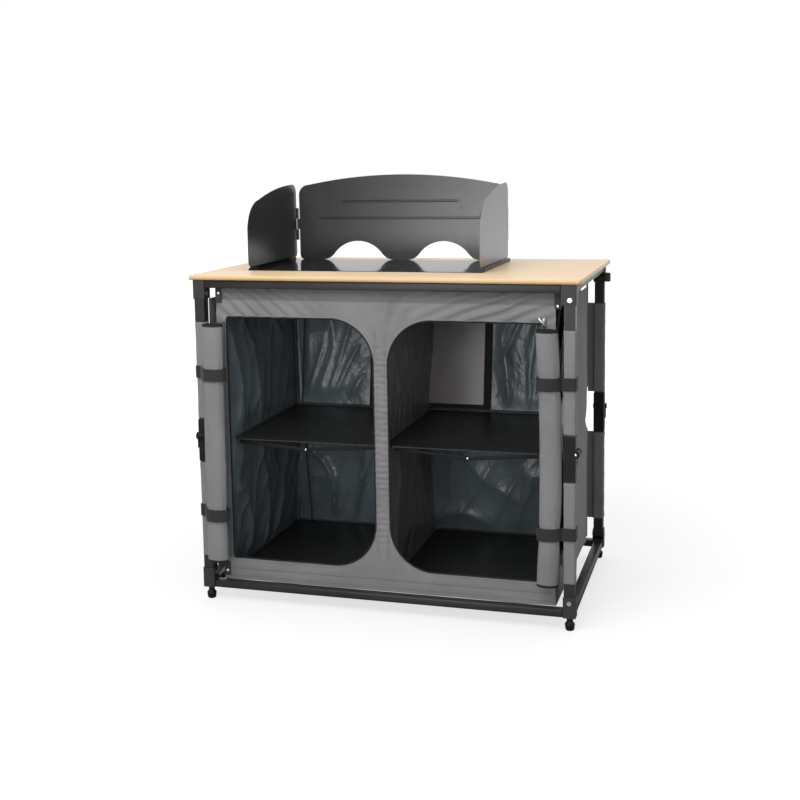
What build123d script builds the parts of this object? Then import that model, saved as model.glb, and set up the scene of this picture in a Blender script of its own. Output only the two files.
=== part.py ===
"""Folding camp kitchen cupboard: a steel frame on four folding legs, a wooden worktop, a three-panel
windshield on a tray, and a cloth body with two fronts, two shelves and rolled-up doors.

Millimetres, +Z up. The origin is on the floor, in the middle of the four feet. +X is to the right
and +Y to the back, as seen from the open front.
"""

from build123d import *
from math import acos, cos, sin, sqrt
import os

os.makedirs("parts", exist_ok=True)

# Worktop and how far it stands out over the frame
WORKTOP_WIDTH = 960.0
WORKTOP_DEPTH = 576.0
WORKTOP_THICK = 11.0
WORKTOP_CORNER = 8.0
WORKTOP_EDGE = 1.5
OVERHANG_SIDE = 11.0
OVERHANG_FRONT = 3.0

# Heights, from the floor up
FOOT_HEIGHT = 32.0
BASE_BLOCK_HEIGHT = 50.0
LOWER_PIVOT_UP = 36.0
LEG_SPAN = 706.0
TOP_PIVOT_DOWN = 35.0

# Leg tube, knuckle and sleeve
TUBE = 25.0
TUBE_WALL = 1.5
TUBE_TIP = 20.0
KNUCKLE = 28.0
KNUCKLE_UP = 40.0
KNUCKLE_DOWN = 64.0
KNUCKLE_CAP = 8.0
SEAM_DROP = 13.0
SEAM_GAP = 0.4
PIVOT_OUT = 15.0
EAR_RADIUS = 9.0
EAR_THICK = 2.0
EAR_GAP = 0.4
EAR_ROOT = 18.0
BOSS_RADIUS = 8.0
SLEEVE_THICK = 1.6
SLEEVE_GAP = 0.2
UPPER_SLEEVE_DOWN = 69.0
LOWER_SLEEVE_UP = 45.0
SLEEVE_STANDOFF = 3.0

# Pivot rivets
RIVET_RADIUS = 3.0
RIVET_HEAD_RADIUS = 5.5
RIVET_HEAD_THICK = 2.0
RIVET_HOLE_GAP = 0.05
RIVET_RUN_GAP = 0.1

# Corner blocks and rails
BLOCK = 30.0
BLOCK_CHEEK_GAP = 0.3
BLOCK_END_GAP = 0.5
TOP_BLOCK_REACH = 21.0
TOP_BLOCK_DROP = 12.0
RAIL_WIDTH = 24.0
RAIL_WALL = 1.5
TOP_RAIL_HEIGHT = 20.0
BASE_RAIL_HEIGHT = 18.0
SPIGOT_LENGTH = 22.0
SPIGOT_GAP = 0.1

# Levelling feet
FOOT_STEM_RADIUS = 4.0
FOOT_STEM_GAP = 0.1
FOOT_STEM_LENGTH = 18.0
FOOT_NECK_RADIUS = 7.5
FOOT_NECK_HEIGHT = 11.0
FOOT_BELL_RADIUS = 12.0
FOOT_SOLE_RADIUS = 9.5
FOOT_BELL_SHOULDER = 6.0
FOOT_GAP = 0.4

# Cloth body: the front, and how far the walls stand inside the legs at the floor, shelf and top
CLOTH = 2.0
FRONT_CLOTH_SETBACK = 28.0
FRONT_CLOTH_LEG_GAP = 35.0
FRONT_CLOTH_RAIL_GAP = 10.0
CLOTH_TOP_GAP = 2.0
OPENING_SIDE_BAND = 26.0
OPENING_INNER = 18.0
OPENING_FOOT_BAND = 47.0
OPENING_TOP_BAND = 70.0
OPENING_INNER_CORNER = 108.0
WALL_IN_FLOOR = 34.0
WALL_IN_SHELF = 66.0
WALL_IN_TOP = 39.0
REAR_IN_FLOOR = 20.0
REAR_IN_SHELF = 78.0
REAR_IN_TOP = 20.0
BODY_RAIL_GAP = 0.3
WALL_RETURN = 16.0
WINDOW_HALF_WIDTH = 155.0
WINDOW_SHELF_MARGIN = 14.0
WINDOW_TOP_MARGIN = 97.0
WINDOW_GAP = 0.3

# Outer side panels between the legs
SIDE_PANEL_THICK = 1.5
SIDE_PANEL_GAP = 0.3
SIDE_PANEL_RIVET_GAP = 2.5
SIDE_PANEL_TOP_GAP = 0.3
SIDE_PANEL_RAIL_GAP = 10.0
SIDE_PANEL_RISE = 35.0
SIDE_NOTCH_DEPTH = 165.0
SIDE_NOTCH_HALF_HEIGHT = 58.0

# Shelf and floor boards
BOARD_THICK = 3.0
BOARD_GAP = 0.4
SHELF_BELOW_KNEE = 10.0
SHELF_FRONT_GAP = 10.0
BOARD_DIVIDER_GAP = 0.5
FLOOR_BOARD_FRONT_GAP = 8.0
BOARD_CORNER = 12.0

# Folding brace under the front of each shelf
BRACE_BAR_WIDTH = 6.0
BRACE_BAR_THICK = 2.0
BRACE_DIP = 11.0
BRACE_SEAT_GAP = 0.2
BRACE_SETBACK = 12.0
BRACE_END_MARGIN = 55.0
BRACE_RIVET_RADIUS = 2.5
BRACE_RIVET_HEAD = 4.5

# Rolled doors and their straps
ROLL_WIDTH = 57.0
ROLL_THICK = 40.0
ROLL_FOOT_UP = 6.0
ROLL_TOP_DOWN = 12.0
ROLL_LEFT_IN = 41.0
ROLL_RIGHT_IN = 48.0
ROLL_SQUEEZE = 2.5
ROLL_EASE = 40.0
FLAP_THICK = 1.5
STRAP_WIDTH = 30.0
STRAP_THICK = 1.5
STRAP_GAP = 0.3
STRAP_HIGH_DOWN = 123.0
STRAP_LOW_UP = 119.0

# Cloth tabs that hang the body from the top frame and hold it to the base
TAB_WIDTH = 16.0
TAB_THICK = 1.5
TAB_LENGTH = 36.0
TAB_STUD_RADIUS = 5.0
TAB_STUD_THICK = 2.0
TAB_STUD_DOWN = 12.0

# Zip slider and its pull
SLIDER_WIDTH = 8.0
SLIDER_LENGTH = 13.0
SLIDER_THICK = 3.0

# Windshield: sheet, place on the worktop and outline
SHEET = 1.2
SHIELD_CENTRE_X = -80.0
SHIELD_SETBACK = 83.0
PANEL_HALF_WIDTH = 292.0
PANEL_HEIGHT = 232.0
PANEL_SHOULDER_HEIGHT = 206.0
PANEL_TOP_CORNER = 28.0
PANEL_BOTTOM_CORNER = 13.0
ARCH_CENTRE = 121.5
ARCH_HEIGHT = 51.0
ARCH_TOP_RADIUS = 86.0
ARCH_FOOT_RADIUS = 42.0
BEAD_HALF_UPPER = 165.0
BEAD_HALF_LOWER = 235.0
BEAD_UPPER_HEIGHT = 160.0
BEAD_LOWER_HEIGHT = 114.0
BEAD_RADIUS = 4.5
BEAD_DEPTH = 2.5
BEAD_SLOPE = 40.0
WING_LENGTH = 345.0
WING_HEIGHT = 200.0
WING_FLOOR_GAP = 8.0
WING_REAR_CORNER = 13.0
WING_FRONT_RISE = 100.0
WING_BEND_IN = 20.0
WING_BEND_DROP = 62.0
WING_SHOULDER_IN = 75.0
WING_SHOULDER_DROP = 34.0
WING_CREST_IN = 200.0
WING_CREST_DROP = 9.0
WING_PEAK_IN = 28.0
WING_PEAK_ROUND = 8.0
WING_HINGE_GAP = 5.0
BARREL_RADIUS = 3.0
BARREL_BORE_GAP = 0.1
HINGE_PIN_RADIUS = 1.5
HINGE_PIN_HEAD = 2.6
HINGE_PIN_HEAD_THICK = 1.0
HINGE_FOOT = 54.0
HINGE_HEIGHT = 88.0
HINGE_SEGMENTS = 3
HINGE_SEGMENT_GAP = 0.5
RIGHT_HINGE_FORWARD = 4.0
TRAY_DEPTH = 350.0
TRAY_SIDE_ROOM = 4.0
TRAY_LIP = 9.0
TRAY_LIP_FRONT_SLOPE = 22.0
TRAY_CORNER = 4.0

# Hook on the rear right corner
HOOK_OUT = 9.5
HOOK_DEPTH = 12.0
HOOK_HEIGHT = 22.0
HOOK_LIP = 3.0
HOOK_SLOT = 3.5
HOOK_DROP = 10.0

# Levels and corner places worked out from the sizes above
WORKTOP_Z = FOOT_HEIGHT + LOWER_PIVOT_UP + LEG_SPAN + TOP_PIVOT_DOWN
LOWER_PIVOT_Z = FOOT_HEIGHT + LOWER_PIVOT_UP
UPPER_PIVOT_Z = LOWER_PIVOT_Z + LEG_SPAN
KNEE_Z = (LOWER_PIVOT_Z + UPPER_PIVOT_Z) / 2
SEAM_Z = KNEE_Z - SEAM_DROP
LEG_X = WORKTOP_WIDTH / 2 - OVERHANG_SIDE - BLOCK / 2
LEG_Y = WORKTOP_DEPTH / 2 - OVERHANG_FRONT - BLOCK / 2
FRONT_CLOTH_Y = -(WORKTOP_DEPTH / 2 - FRONT_CLOTH_SETBACK)
TOP_FRAME_Z = WORKTOP_Z
TOP_RAIL_Z = TOP_FRAME_Z - TOP_RAIL_HEIGHT
BASE_RAIL_TOP = FOOT_HEIGHT + BASE_RAIL_HEIGHT
FRONT_CLOTH_HALF_WIDTH = LEG_X - FRONT_CLOTH_LEG_GAP
FRONT_CLOTH_FOOT = BASE_RAIL_TOP + FRONT_CLOTH_RAIL_GAP
FRONT_CLOTH_TOP = TOP_RAIL_Z - CLOTH_TOP_GAP
OPENING_OUTER = FRONT_CLOTH_HALF_WIDTH - OPENING_SIDE_BAND
OPENING_FOOT = FRONT_CLOTH_FOOT + OPENING_FOOT_BAND
OPENING_TOP = FRONT_CLOTH_TOP - OPENING_TOP_BAND
BODY_HALF_WIDTH_FLOOR = LEG_X - WALL_IN_FLOOR
BODY_HALF_WIDTH_SHELF = LEG_X - WALL_IN_SHELF
BODY_HALF_WIDTH_TOP = LEG_X - WALL_IN_TOP
BODY_REAR_FLOOR = LEG_Y - REAR_IN_FLOOR
BODY_REAR_SHELF = LEG_Y - REAR_IN_SHELF
BODY_REAR_TOP = LEG_Y - REAR_IN_TOP
BODY_FOOT = BASE_RAIL_TOP + BODY_RAIL_GAP
BODY_TOP = FRONT_CLOTH_TOP
REAR_WALL_HALF = BODY_HALF_WIDTH_SHELF - WALL_RETURN
SHELF_TOP = KNEE_Z - SHELF_BELOW_KNEE
SHELF_FRONT = -FRONT_CLOTH_Y - SHELF_FRONT_GAP
FLOOR_BOARD_FRONT = -FRONT_CLOTH_Y - FLOOR_BOARD_FRONT_GAP
WINDOW_FOOT = SHELF_TOP + WINDOW_SHELF_MARGIN
WINDOW_TOP = BODY_TOP - WINDOW_TOP_MARGIN
SIDE_PANEL_HALF_DEPTH = LEG_Y - RIVET_HEAD_RADIUS - SIDE_PANEL_RIVET_GAP
SIDE_PANEL_TOP = UPPER_PIVOT_Z - TOP_BLOCK_DROP - SIDE_PANEL_TOP_GAP
SIDE_PANEL_FOOT = BASE_RAIL_TOP + SIDE_PANEL_RAIL_GAP
ROLL_FOOT = OPENING_FOOT + ROLL_FOOT_UP
ROLL_TOP = OPENING_TOP - ROLL_TOP_DOWN
ROLL_LEFT_X = LEG_X - ROLL_LEFT_IN
ROLL_RIGHT_X = LEG_X - ROLL_RIGHT_IN
STRAP_HIGH = ROLL_TOP - STRAP_HIGH_DOWN
STRAP_LOW = ROLL_FOOT + STRAP_LOW_UP
SHIELD_Y = WORKTOP_DEPTH / 2 - SHIELD_SETBACK
BODY_SECTIONS = (
    (BODY_FOOT, BODY_HALF_WIDTH_FLOOR, BODY_REAR_FLOOR),
    (SHELF_TOP - BOARD_THICK / 2, BODY_HALF_WIDTH_SHELF, BODY_REAR_SHELF),
    (BODY_TOP, BODY_HALF_WIDTH_TOP, BODY_REAR_TOP),
)
TRAY_TOP = WORKTOP_Z + WORKTOP_THICK + SHEET

# Levels of the rolled doors, with how far the roll is drawn in at each
ROLL_SECTIONS = (
    (ROLL_FOOT, ROLL_SQUEEZE),
    (STRAP_LOW - ROLL_EASE, 0.0),
    (STRAP_LOW - STRAP_WIDTH / 2, ROLL_SQUEEZE),
    (STRAP_LOW + STRAP_WIDTH / 2, ROLL_SQUEEZE),
    (STRAP_LOW + ROLL_EASE, 0.0),
    (STRAP_HIGH - ROLL_EASE, 0.0),
    (STRAP_HIGH - STRAP_WIDTH / 2, ROLL_SQUEEZE),
    (STRAP_HIGH + STRAP_WIDTH / 2, ROLL_SQUEEZE),
    (STRAP_HIGH + ROLL_EASE, 0.0),
    (ROLL_TOP, ROLL_SQUEEZE),
)

# Each leg folds along one side of the frame, one after the other round the corner
CORNERS = {
    "front_right": (LEG_X, -LEG_Y, (1, 0, 0), 2 * LEG_X),
    "front_left": (-LEG_X, -LEG_Y, (0, -1, 0), 2 * LEG_Y),
    "rear_left": (-LEG_X, LEG_Y, (-1, 0, 0), 2 * LEG_X),
    "rear_right": (LEG_X, LEG_Y, (0, 1, 0), 2 * LEG_Y),
}


def keep(part, name):
    """Labels a finished piece and writes it under its own name."""
    part.label = name
    export_step(part, f"parts/{name}.step")


def level(corner, z):
    """A level plane on the leg's axis, with its X pointing away from the leg's fold."""
    x, y, outward, span = CORNERS[corner]
    return Plane(origin=(x, y, z), x_dir=outward, z_dir=(0, 0, 1))


def upright(corner, z=0.0):
    """An upright plane through the leg's axis, X away from the fold, Y up, normal along the pins."""
    x, y, outward, span = CORNERS[corner]
    along_pin = Vector(*outward).cross(Vector(0, 0, 1))
    return Plane(origin=(x, y, z), x_dir=outward, z_dir=along_pin)


# Corner blocks. The leg's end sits between two cheeks and folds out through the open side.
def base_block(corner):
    foot_z = FOOT_HEIGHT
    stubs = spigots(corner, foot_z, BASE_RAIL_HEIGHT, BLOCK / 2)
    slot_z = LOWER_PIVOT_Z - TUBE / 2 - BLOCK_END_GAP
    slot_width = BLOCK / 2 + TUBE / 2 + BLOCK_END_GAP
    slot_half = TUBE / 2 + BLOCK_CHEEK_GAP
    with BuildPart() as block:
        with BuildSketch(level(corner, foot_z)):
            Rectangle(BLOCK, BLOCK)
        extrude(amount=BASE_BLOCK_HEIGHT)
        upright_edges = block.edges().filter_by(Axis.Z)
        fillet(upright_edges, radius=2.0)
        with BuildSketch(level(corner, slot_z)):
            with Locations((-BLOCK / 2 + slot_width / 2, 0)):
                Rectangle(slot_width, 2 * slot_half)
        extrude(amount=BASE_BLOCK_HEIGHT, mode=Mode.SUBTRACT)
        with BuildSketch(upright(corner, LOWER_PIVOT_Z)):
            Circle(RIVET_RADIUS + RIVET_HOLE_GAP)
        extrude(amount=BLOCK, both=True, mode=Mode.SUBTRACT)
        with BuildSketch(level(corner, foot_z)):
            Circle(FOOT_STEM_RADIUS + FOOT_STEM_GAP)
        extrude(amount=FOOT_STEM_LENGTH + FOOT_GAP, mode=Mode.SUBTRACT)
        add(stubs)
    return block.part


def top_block(corner):
    foot_z = UPPER_PIVOT_Z - TOP_BLOCK_DROP
    slot_height = TOP_BLOCK_DROP + TUBE / 2 + BLOCK_END_GAP
    slot_width = TOP_BLOCK_REACH + TUBE / 2 + BLOCK_END_GAP
    slot_half = TUBE / 2 + BLOCK_CHEEK_GAP
    length = TOP_BLOCK_REACH + BLOCK / 2
    stubs = spigots(corner, TOP_RAIL_Z, TOP_RAIL_HEIGHT, TOP_BLOCK_REACH)
    with BuildPart() as block:
        with BuildSketch(level(corner, foot_z)):
            with Locations((BLOCK / 2 - length / 2, 0)):
                Rectangle(length, BLOCK)
        extrude(amount=TOP_FRAME_Z - foot_z)
        upright_edges = block.edges().filter_by(Axis.Z)
        fillet(upright_edges, radius=2.0)
        with BuildSketch(level(corner, foot_z)):
            with Locations((-TOP_BLOCK_REACH + slot_width / 2, 0)):
                Rectangle(slot_width, 2 * slot_half)
        extrude(amount=slot_height, mode=Mode.SUBTRACT)
        with BuildSketch(upright(corner, UPPER_PIVOT_Z)):
            Circle(RIVET_RADIUS + RIVET_HOLE_GAP)
        extrude(amount=BLOCK, both=True, mode=Mode.SUBTRACT)
        add(stubs)
    return block.part


def spigots(corner, rail_z, rail_height, reach):
    """Two stubs that the rails push onto, one along the fold and one along the pins."""
    width = RAIL_WIDTH - 2 * RAIL_WALL - 2 * SPIGOT_GAP
    height = rail_height - 2 * RAIL_WALL - 2 * SPIGOT_GAP
    with BuildPart() as stubs:
        with BuildSketch(level(corner, rail_z + RAIL_WALL + SPIGOT_GAP)):
            with Locations((-reach - SPIGOT_LENGTH / 2, 0)):
                Rectangle(SPIGOT_LENGTH, width)
            with Locations((0, BLOCK / 2 + SPIGOT_LENGTH / 2)):
                Rectangle(width, SPIGOT_LENGTH)
        extrude(amount=height)
    return stubs.part


# Square tube between two corner blocks, open at both ends over the spigots
def rail(corner, rail_z, rail_height, reach):
    span = CORNERS[corner][3]
    length = span - reach - BLOCK / 2
    with BuildPart() as tube:
        with BuildSketch(level(corner, rail_z)):
            with Locations((-reach - length / 2, 0)):
                Rectangle(length, RAIL_WIDTH)
        extrude(amount=rail_height)
        with BuildSketch(level(corner, rail_z + RAIL_WALL)):
            with Locations((-reach - length / 2, 0)):
                Rectangle(length, RAIL_WIDTH - 2 * RAIL_WALL)
        extrude(amount=rail_height - 2 * RAIL_WALL, mode=Mode.SUBTRACT)
    return tube.part


# Leg halves: square tube with a rounded solid tip that turns in its corner block
def leg_half(corner, pivot_z, end_z):
    middle_z = (pivot_z + end_z) / 2
    length = abs(end_z - pivot_z)
    bore = TUBE - 2 * TUBE_WALL
    bore_length = length - TUBE_TIP
    bore_middle_z = end_z - (bore_length / 2) * (1 if end_z > pivot_z else -1)
    with BuildPart() as tube:
        with BuildSketch(upright(corner)):
            with Locations((0, middle_z)):
                Rectangle(TUBE, length)
            with Locations((0, pivot_z)):
                Circle(TUBE / 2)
        extrude(amount=TUBE / 2, both=True)
        with BuildSketch(upright(corner)):
            with Locations((0, bore_middle_z)):
                Rectangle(bore, bore_length)
        extrude(amount=bore / 2, both=True, mode=Mode.SUBTRACT)
        with BuildSketch(upright(corner, pivot_z)):
            Circle(RIVET_RADIUS + RIVET_RUN_GAP)
        extrude(amount=TUBE, both=True, mode=Mode.SUBTRACT)
    return tube.part


# Lower knuckle: a cap over the lower tube with two ears that carry the knee pin
def lower_knuckle(corner):
    foot_z = KNEE_Z - KNUCKLE_DOWN
    ear_outer = KNUCKLE / 2 + EAR_GAP + EAR_THICK
    with BuildPart() as cap:
        with BuildSketch(level(corner, foot_z)):
            Rectangle(KNUCKLE, KNUCKLE)
        extrude(amount=SEAM_Z - foot_z)
        with BuildSketch(level(corner, foot_z)):
            Rectangle(TUBE, TUBE)
        extrude(amount=SEAM_Z - KNUCKLE_CAP - foot_z, mode=Mode.SUBTRACT)
        for side in (1, -1):
            ear_plane = upright(corner).offset(side * (KNUCKLE / 2 + EAR_GAP))
            with BuildSketch(ear_plane):
                with Locations((PIVOT_OUT, KNEE_Z)):
                    Circle(EAR_RADIUS)
                with Locations((PIVOT_OUT - EAR_RADIUS / 2, SEAM_Z - EAR_ROOT / 2)):
                    Rectangle(EAR_RADIUS, EAR_ROOT)
                with Locations((PIVOT_OUT - EAR_RADIUS / 2, (SEAM_Z + KNEE_Z) / 2)):
                    Rectangle(EAR_RADIUS, KNEE_Z - SEAM_Z)
            extrude(amount=side * EAR_THICK)
            with BuildSketch(upright(corner).offset(side * KNUCKLE / 2)):
                root_width = KNUCKLE / 2 - PIVOT_OUT + EAR_RADIUS
                with Locations((KNUCKLE / 2 - root_width / 2, SEAM_Z - EAR_ROOT / 2)):
                    Rectangle(root_width, EAR_ROOT)
            extrude(amount=side * EAR_GAP)
        with BuildSketch(upright(corner)):
            with Locations((PIVOT_OUT, KNEE_Z)):
                Circle(RIVET_RADIUS + RIVET_HOLE_GAP)
        extrude(amount=ear_outer, both=True, mode=Mode.SUBTRACT)
    with BuildPart() as pin:
        with BuildSketch(upright(corner)):
            with Locations((PIVOT_OUT, KNEE_Z)):
                Circle(RIVET_RADIUS)
        extrude(amount=ear_outer, both=True)
        for side in (1, -1):
            with BuildSketch(upright(corner).offset(side * ear_outer)):
                with Locations((PIVOT_OUT, KNEE_Z)):
                    Circle(RIVET_HEAD_RADIUS)
            extrude(amount=side * RIVET_HEAD_THICK)
    return Compound(children=[cap.part, pin.part])


# Upper knuckle: a cap over the upper tube with the boss that turns between the ears
def upper_knuckle(corner):
    foot_z = SEAM_Z + SEAM_GAP
    floor_z = upper_tube_end()
    top_z = KNEE_Z + KNUCKLE_UP
    with BuildPart() as cap:
        with BuildSketch(level(corner, foot_z)):
            Rectangle(KNUCKLE, KNUCKLE)
        extrude(amount=top_z - foot_z)
        with BuildSketch(upright(corner)):
            with Locations((PIVOT_OUT, KNEE_Z)):
                Circle(BOSS_RADIUS)
        extrude(amount=KNUCKLE / 2, both=True)
        with BuildSketch(level(corner, floor_z)):
            Rectangle(TUBE, TUBE)
        extrude(amount=top_z - floor_z, mode=Mode.SUBTRACT)
        with BuildSketch(upright(corner)):
            with Locations((PIVOT_OUT, KNEE_Z)):
                Circle(RIVET_RADIUS + RIVET_RUN_GAP)
        extrude(amount=KNUCKLE, both=True, mode=Mode.SUBTRACT)
    return cap.part


def upper_tube_end():
    """The upper tube stops above the knee pin, so that the pin clears it."""
    return KNEE_Z + RIVET_RADIUS + KNUCKLE_CAP


def lower_tube_end():
    return SEAM_Z - KNUCKLE_CAP


# Cloth sleeve round a leg tube
def sleeve(corner, foot_z, length):
    bore = TUBE + 2 * SLEEVE_GAP
    with BuildPart() as cloth:
        with BuildSketch(level(corner, foot_z)):
            Rectangle(bore + 2 * SLEEVE_THICK, bore + 2 * SLEEVE_THICK)
            Rectangle(bore, bore, mode=Mode.SUBTRACT)
        extrude(amount=length)
    return cloth.part


# Pivot rivets, with a flat head on each side of the block
def pivot_rivet(corner, pivot_z):
    with BuildPart() as rivet:
        with BuildSketch(upright(corner, pivot_z)):
            Circle(RIVET_RADIUS)
        extrude(amount=BLOCK / 2, both=True)
        for side in (1, -1):
            with BuildSketch(upright(corner, pivot_z).offset(side * BLOCK / 2)):
                Circle(RIVET_HEAD_RADIUS)
            extrude(amount=side * RIVET_HEAD_THICK)
    return rivet.part


# Levelling foot: a threaded stem in a ribless plastic bell
def foot(corner):
    x, y, outward, span = CORNERS[corner]
    neck_top = FOOT_HEIGHT - FOOT_GAP
    bell_top = neck_top - FOOT_NECK_HEIGHT
    shoulder = bell_top - FOOT_BELL_SHOULDER
    side_plane = Plane(origin=(x, y, 0), x_dir=(1, 0, 0), z_dir=(0, -1, 0))
    with BuildPart() as bell:
        with BuildSketch(side_plane):
            with BuildLine():
                Polyline(
                    (0, 0),
                    (FOOT_SOLE_RADIUS, 0),
                    (FOOT_BELL_RADIUS, shoulder),
                    (FOOT_NECK_RADIUS, bell_top),
                    (FOOT_NECK_RADIUS, neck_top),
                    (FOOT_STEM_RADIUS, neck_top),
                    (FOOT_STEM_RADIUS, FOOT_HEIGHT + FOOT_STEM_LENGTH),
                    (0, FOOT_HEIGHT + FOOT_STEM_LENGTH),
                    close=True,
                )
            make_face()
        revolve(axis=Axis((x, y, 0), (0, 0, 1)))
    return bell.part


LOWER_SLEEVE_FOOT = LOWER_PIVOT_Z + LOWER_SLEEVE_UP
LOWER_SLEEVE_TOP = KNEE_Z - KNUCKLE_DOWN - SLEEVE_STANDOFF
UPPER_SLEEVE_FOOT = KNEE_Z + KNUCKLE_UP + SLEEVE_STANDOFF
UPPER_SLEEVE_TOP = UPPER_PIVOT_Z - UPPER_SLEEVE_DOWN
for name in CORNERS:
    keep(leg_half(name, LOWER_PIVOT_Z, lower_tube_end()), f"lower_leg_{name}")
    keep(leg_half(name, UPPER_PIVOT_Z, upper_tube_end()), f"upper_leg_{name}")
    keep(lower_knuckle(name), f"lower_knuckle_{name}")
    keep(upper_knuckle(name), f"upper_knuckle_{name}")
    keep(sleeve(name, LOWER_SLEEVE_FOOT, LOWER_SLEEVE_TOP - LOWER_SLEEVE_FOOT), f"lower_sleeve_{name}")
    keep(sleeve(name, UPPER_SLEEVE_FOOT, UPPER_SLEEVE_TOP - UPPER_SLEEVE_FOOT), f"upper_sleeve_{name}")
    keep(foot(name), f"levelling_foot_{name}")

keep(Compound(children=[base_block(name) for name in CORNERS]), "base_corner_blocks")
keep(Compound(children=[top_block(name) for name in CORNERS]), "top_corner_blocks")
keep(Compound(children=[pivot_rivet(name, LOWER_PIVOT_Z) for name in CORNERS]), "base_pivot_rivets")
keep(Compound(children=[pivot_rivet(name, UPPER_PIVOT_Z) for name in CORNERS]), "top_pivot_rivets")

LONG_SIDES = ("front_right", "rear_left")
SHORT_SIDES = ("rear_right", "front_left")
for length_name, sides in (("long", LONG_SIDES), ("short", SHORT_SIDES)):
    base_rails = [rail(name, FOOT_HEIGHT, BASE_RAIL_HEIGHT, BLOCK / 2) for name in sides]
    top_rails = [rail(name, TOP_RAIL_Z, TOP_RAIL_HEIGHT, TOP_BLOCK_REACH) for name in sides]
    keep(Compound(children=base_rails), f"base_rails_{length_name}")
    keep(Compound(children=top_rails), f"top_rails_{length_name}")

# Worktop: a plywood board with softened edges
with BuildPart() as worktop:
    with BuildSketch(Plane.XY.offset(WORKTOP_Z)):
        RectangleRounded(WORKTOP_WIDTH, WORKTOP_DEPTH, WORKTOP_CORNER)
    extrude(amount=WORKTOP_THICK)
    board_rims = worktop.faces().filter_by(Axis.Z).edges()
    chamfer(board_rims, length=WORKTOP_EDGE / 2)
keep(worktop.part, "worktop")


# Tray under the windshield: one sheet with a low lip folded up along each side
def shield_end(side):
    """The hinge axis at one end of the back panel, left -1 or right 1."""
    hinge_x = SHIELD_CENTRE_X + side * (PANEL_HALF_WIDTH + WING_HINGE_GAP)
    hinge_y = SHIELD_Y - (RIGHT_HINGE_FORWARD if side > 0 else 0.0)
    return hinge_x, hinge_y


WING_OFFSET = BARREL_RADIUS - SHEET / 2
TRAY_HALF_WIDTH = PANEL_HALF_WIDTH + WING_HINGE_GAP + WING_OFFSET + TRAY_SIDE_ROOM + SHEET
TRAY_REAR = SHIELD_Y + BARREL_RADIUS
TRAY_FRONT = TRAY_REAR - TRAY_DEPTH

with BuildPart() as tray:
    with BuildSketch(Plane.XY.offset(WORKTOP_Z + WORKTOP_THICK)):
        with Locations((SHIELD_CENTRE_X, (TRAY_REAR + TRAY_FRONT) / 2)):
            RectangleRounded(2 * TRAY_HALF_WIDTH, TRAY_DEPTH, TRAY_CORNER)
    extrude(amount=SHEET)
    for side in (-1, 1):
        lip_x = SHIELD_CENTRE_X + side * TRAY_HALF_WIDTH
        with BuildSketch(Plane.YZ.offset(lip_x)):
            with BuildLine():
                Polyline(
                    (TRAY_FRONT + TRAY_CORNER, WORKTOP_Z + WORKTOP_THICK),
                    (TRAY_FRONT + TRAY_CORNER + TRAY_LIP_FRONT_SLOPE, TRAY_TOP + TRAY_LIP),
                    (TRAY_REAR - TRAY_CORNER - TRAY_LIP, TRAY_TOP + TRAY_LIP),
                    (TRAY_REAR - TRAY_CORNER, WORKTOP_Z + WORKTOP_THICK),
                    close=True,
                )
            make_face()
        extrude(amount=-side * SHEET)
keep(tray.part, "windshield_tray")


def arch_tangent():
    """Half width of an arch at its foot, and the point where its two arcs meet."""
    rise = ARCH_FOOT_RADIUS - (ARCH_HEIGHT - ARCH_TOP_RADIUS)
    reach = ARCH_TOP_RADIUS + ARCH_FOOT_RADIUS
    half_width = sqrt(reach**2 - rise**2)
    share = ARCH_TOP_RADIUS / reach
    meet_x = half_width * share
    meet_z = ARCH_HEIGHT - ARCH_TOP_RADIUS + rise * share
    return half_width, meet_x, meet_z


def arch_bend():
    """How far the middle of an arch's foot arc is from the point where the arc starts."""
    half_width, meet_x, meet_z = arch_tangent()
    turn = acos((ARCH_FOOT_RADIUS - meet_z) / ARCH_FOOT_RADIUS) / 2
    return ARCH_FOOT_RADIUS * sin(turn), ARCH_FOOT_RADIUS * (1 - cos(turn))


def barrel(side, segment):
    """One knuckle of the hinge: segment 0 is the lowest."""
    hinge_x, hinge_y = shield_end(side)
    pitch = HINGE_HEIGHT / HINGE_SEGMENTS
    foot_z = TRAY_TOP + HINGE_FOOT + segment * pitch + HINGE_SEGMENT_GAP / 2
    with BuildPart() as knuckle:
        with BuildSketch(Plane.XY.offset(foot_z)):
            with Locations((hinge_x, hinge_y)):
                Circle(BARREL_RADIUS)
        extrude(amount=pitch - HINGE_SEGMENT_GAP)
    return knuckle.part


def barrel_bore(side):
    """The round hole for the hinge pin, as a solid to take away."""
    hinge_x, hinge_y = shield_end(side)
    with BuildPart() as bore:
        with BuildSketch(Plane.XY.offset(TRAY_TOP + HINGE_FOOT)):
            with Locations((hinge_x, hinge_y)):
                Circle(HINGE_PIN_RADIUS + BARREL_BORE_GAP)
        extrude(amount=HINGE_HEIGHT)
    return bore.part


# Back panel: an arched sheet with two pressed beads and two arches that leave three feet
arch_half, arch_meet_x, arch_meet_z = arch_tangent()
arch_bend_x, arch_bend_z = arch_bend()
hinge_pitch = HINGE_HEIGHT / HINGE_SEGMENTS
middle_barrels = [barrel(side, 1) for side in (-1, 1)]
pin_bores = [barrel_bore(side) for side in (-1, 1)]

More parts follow.
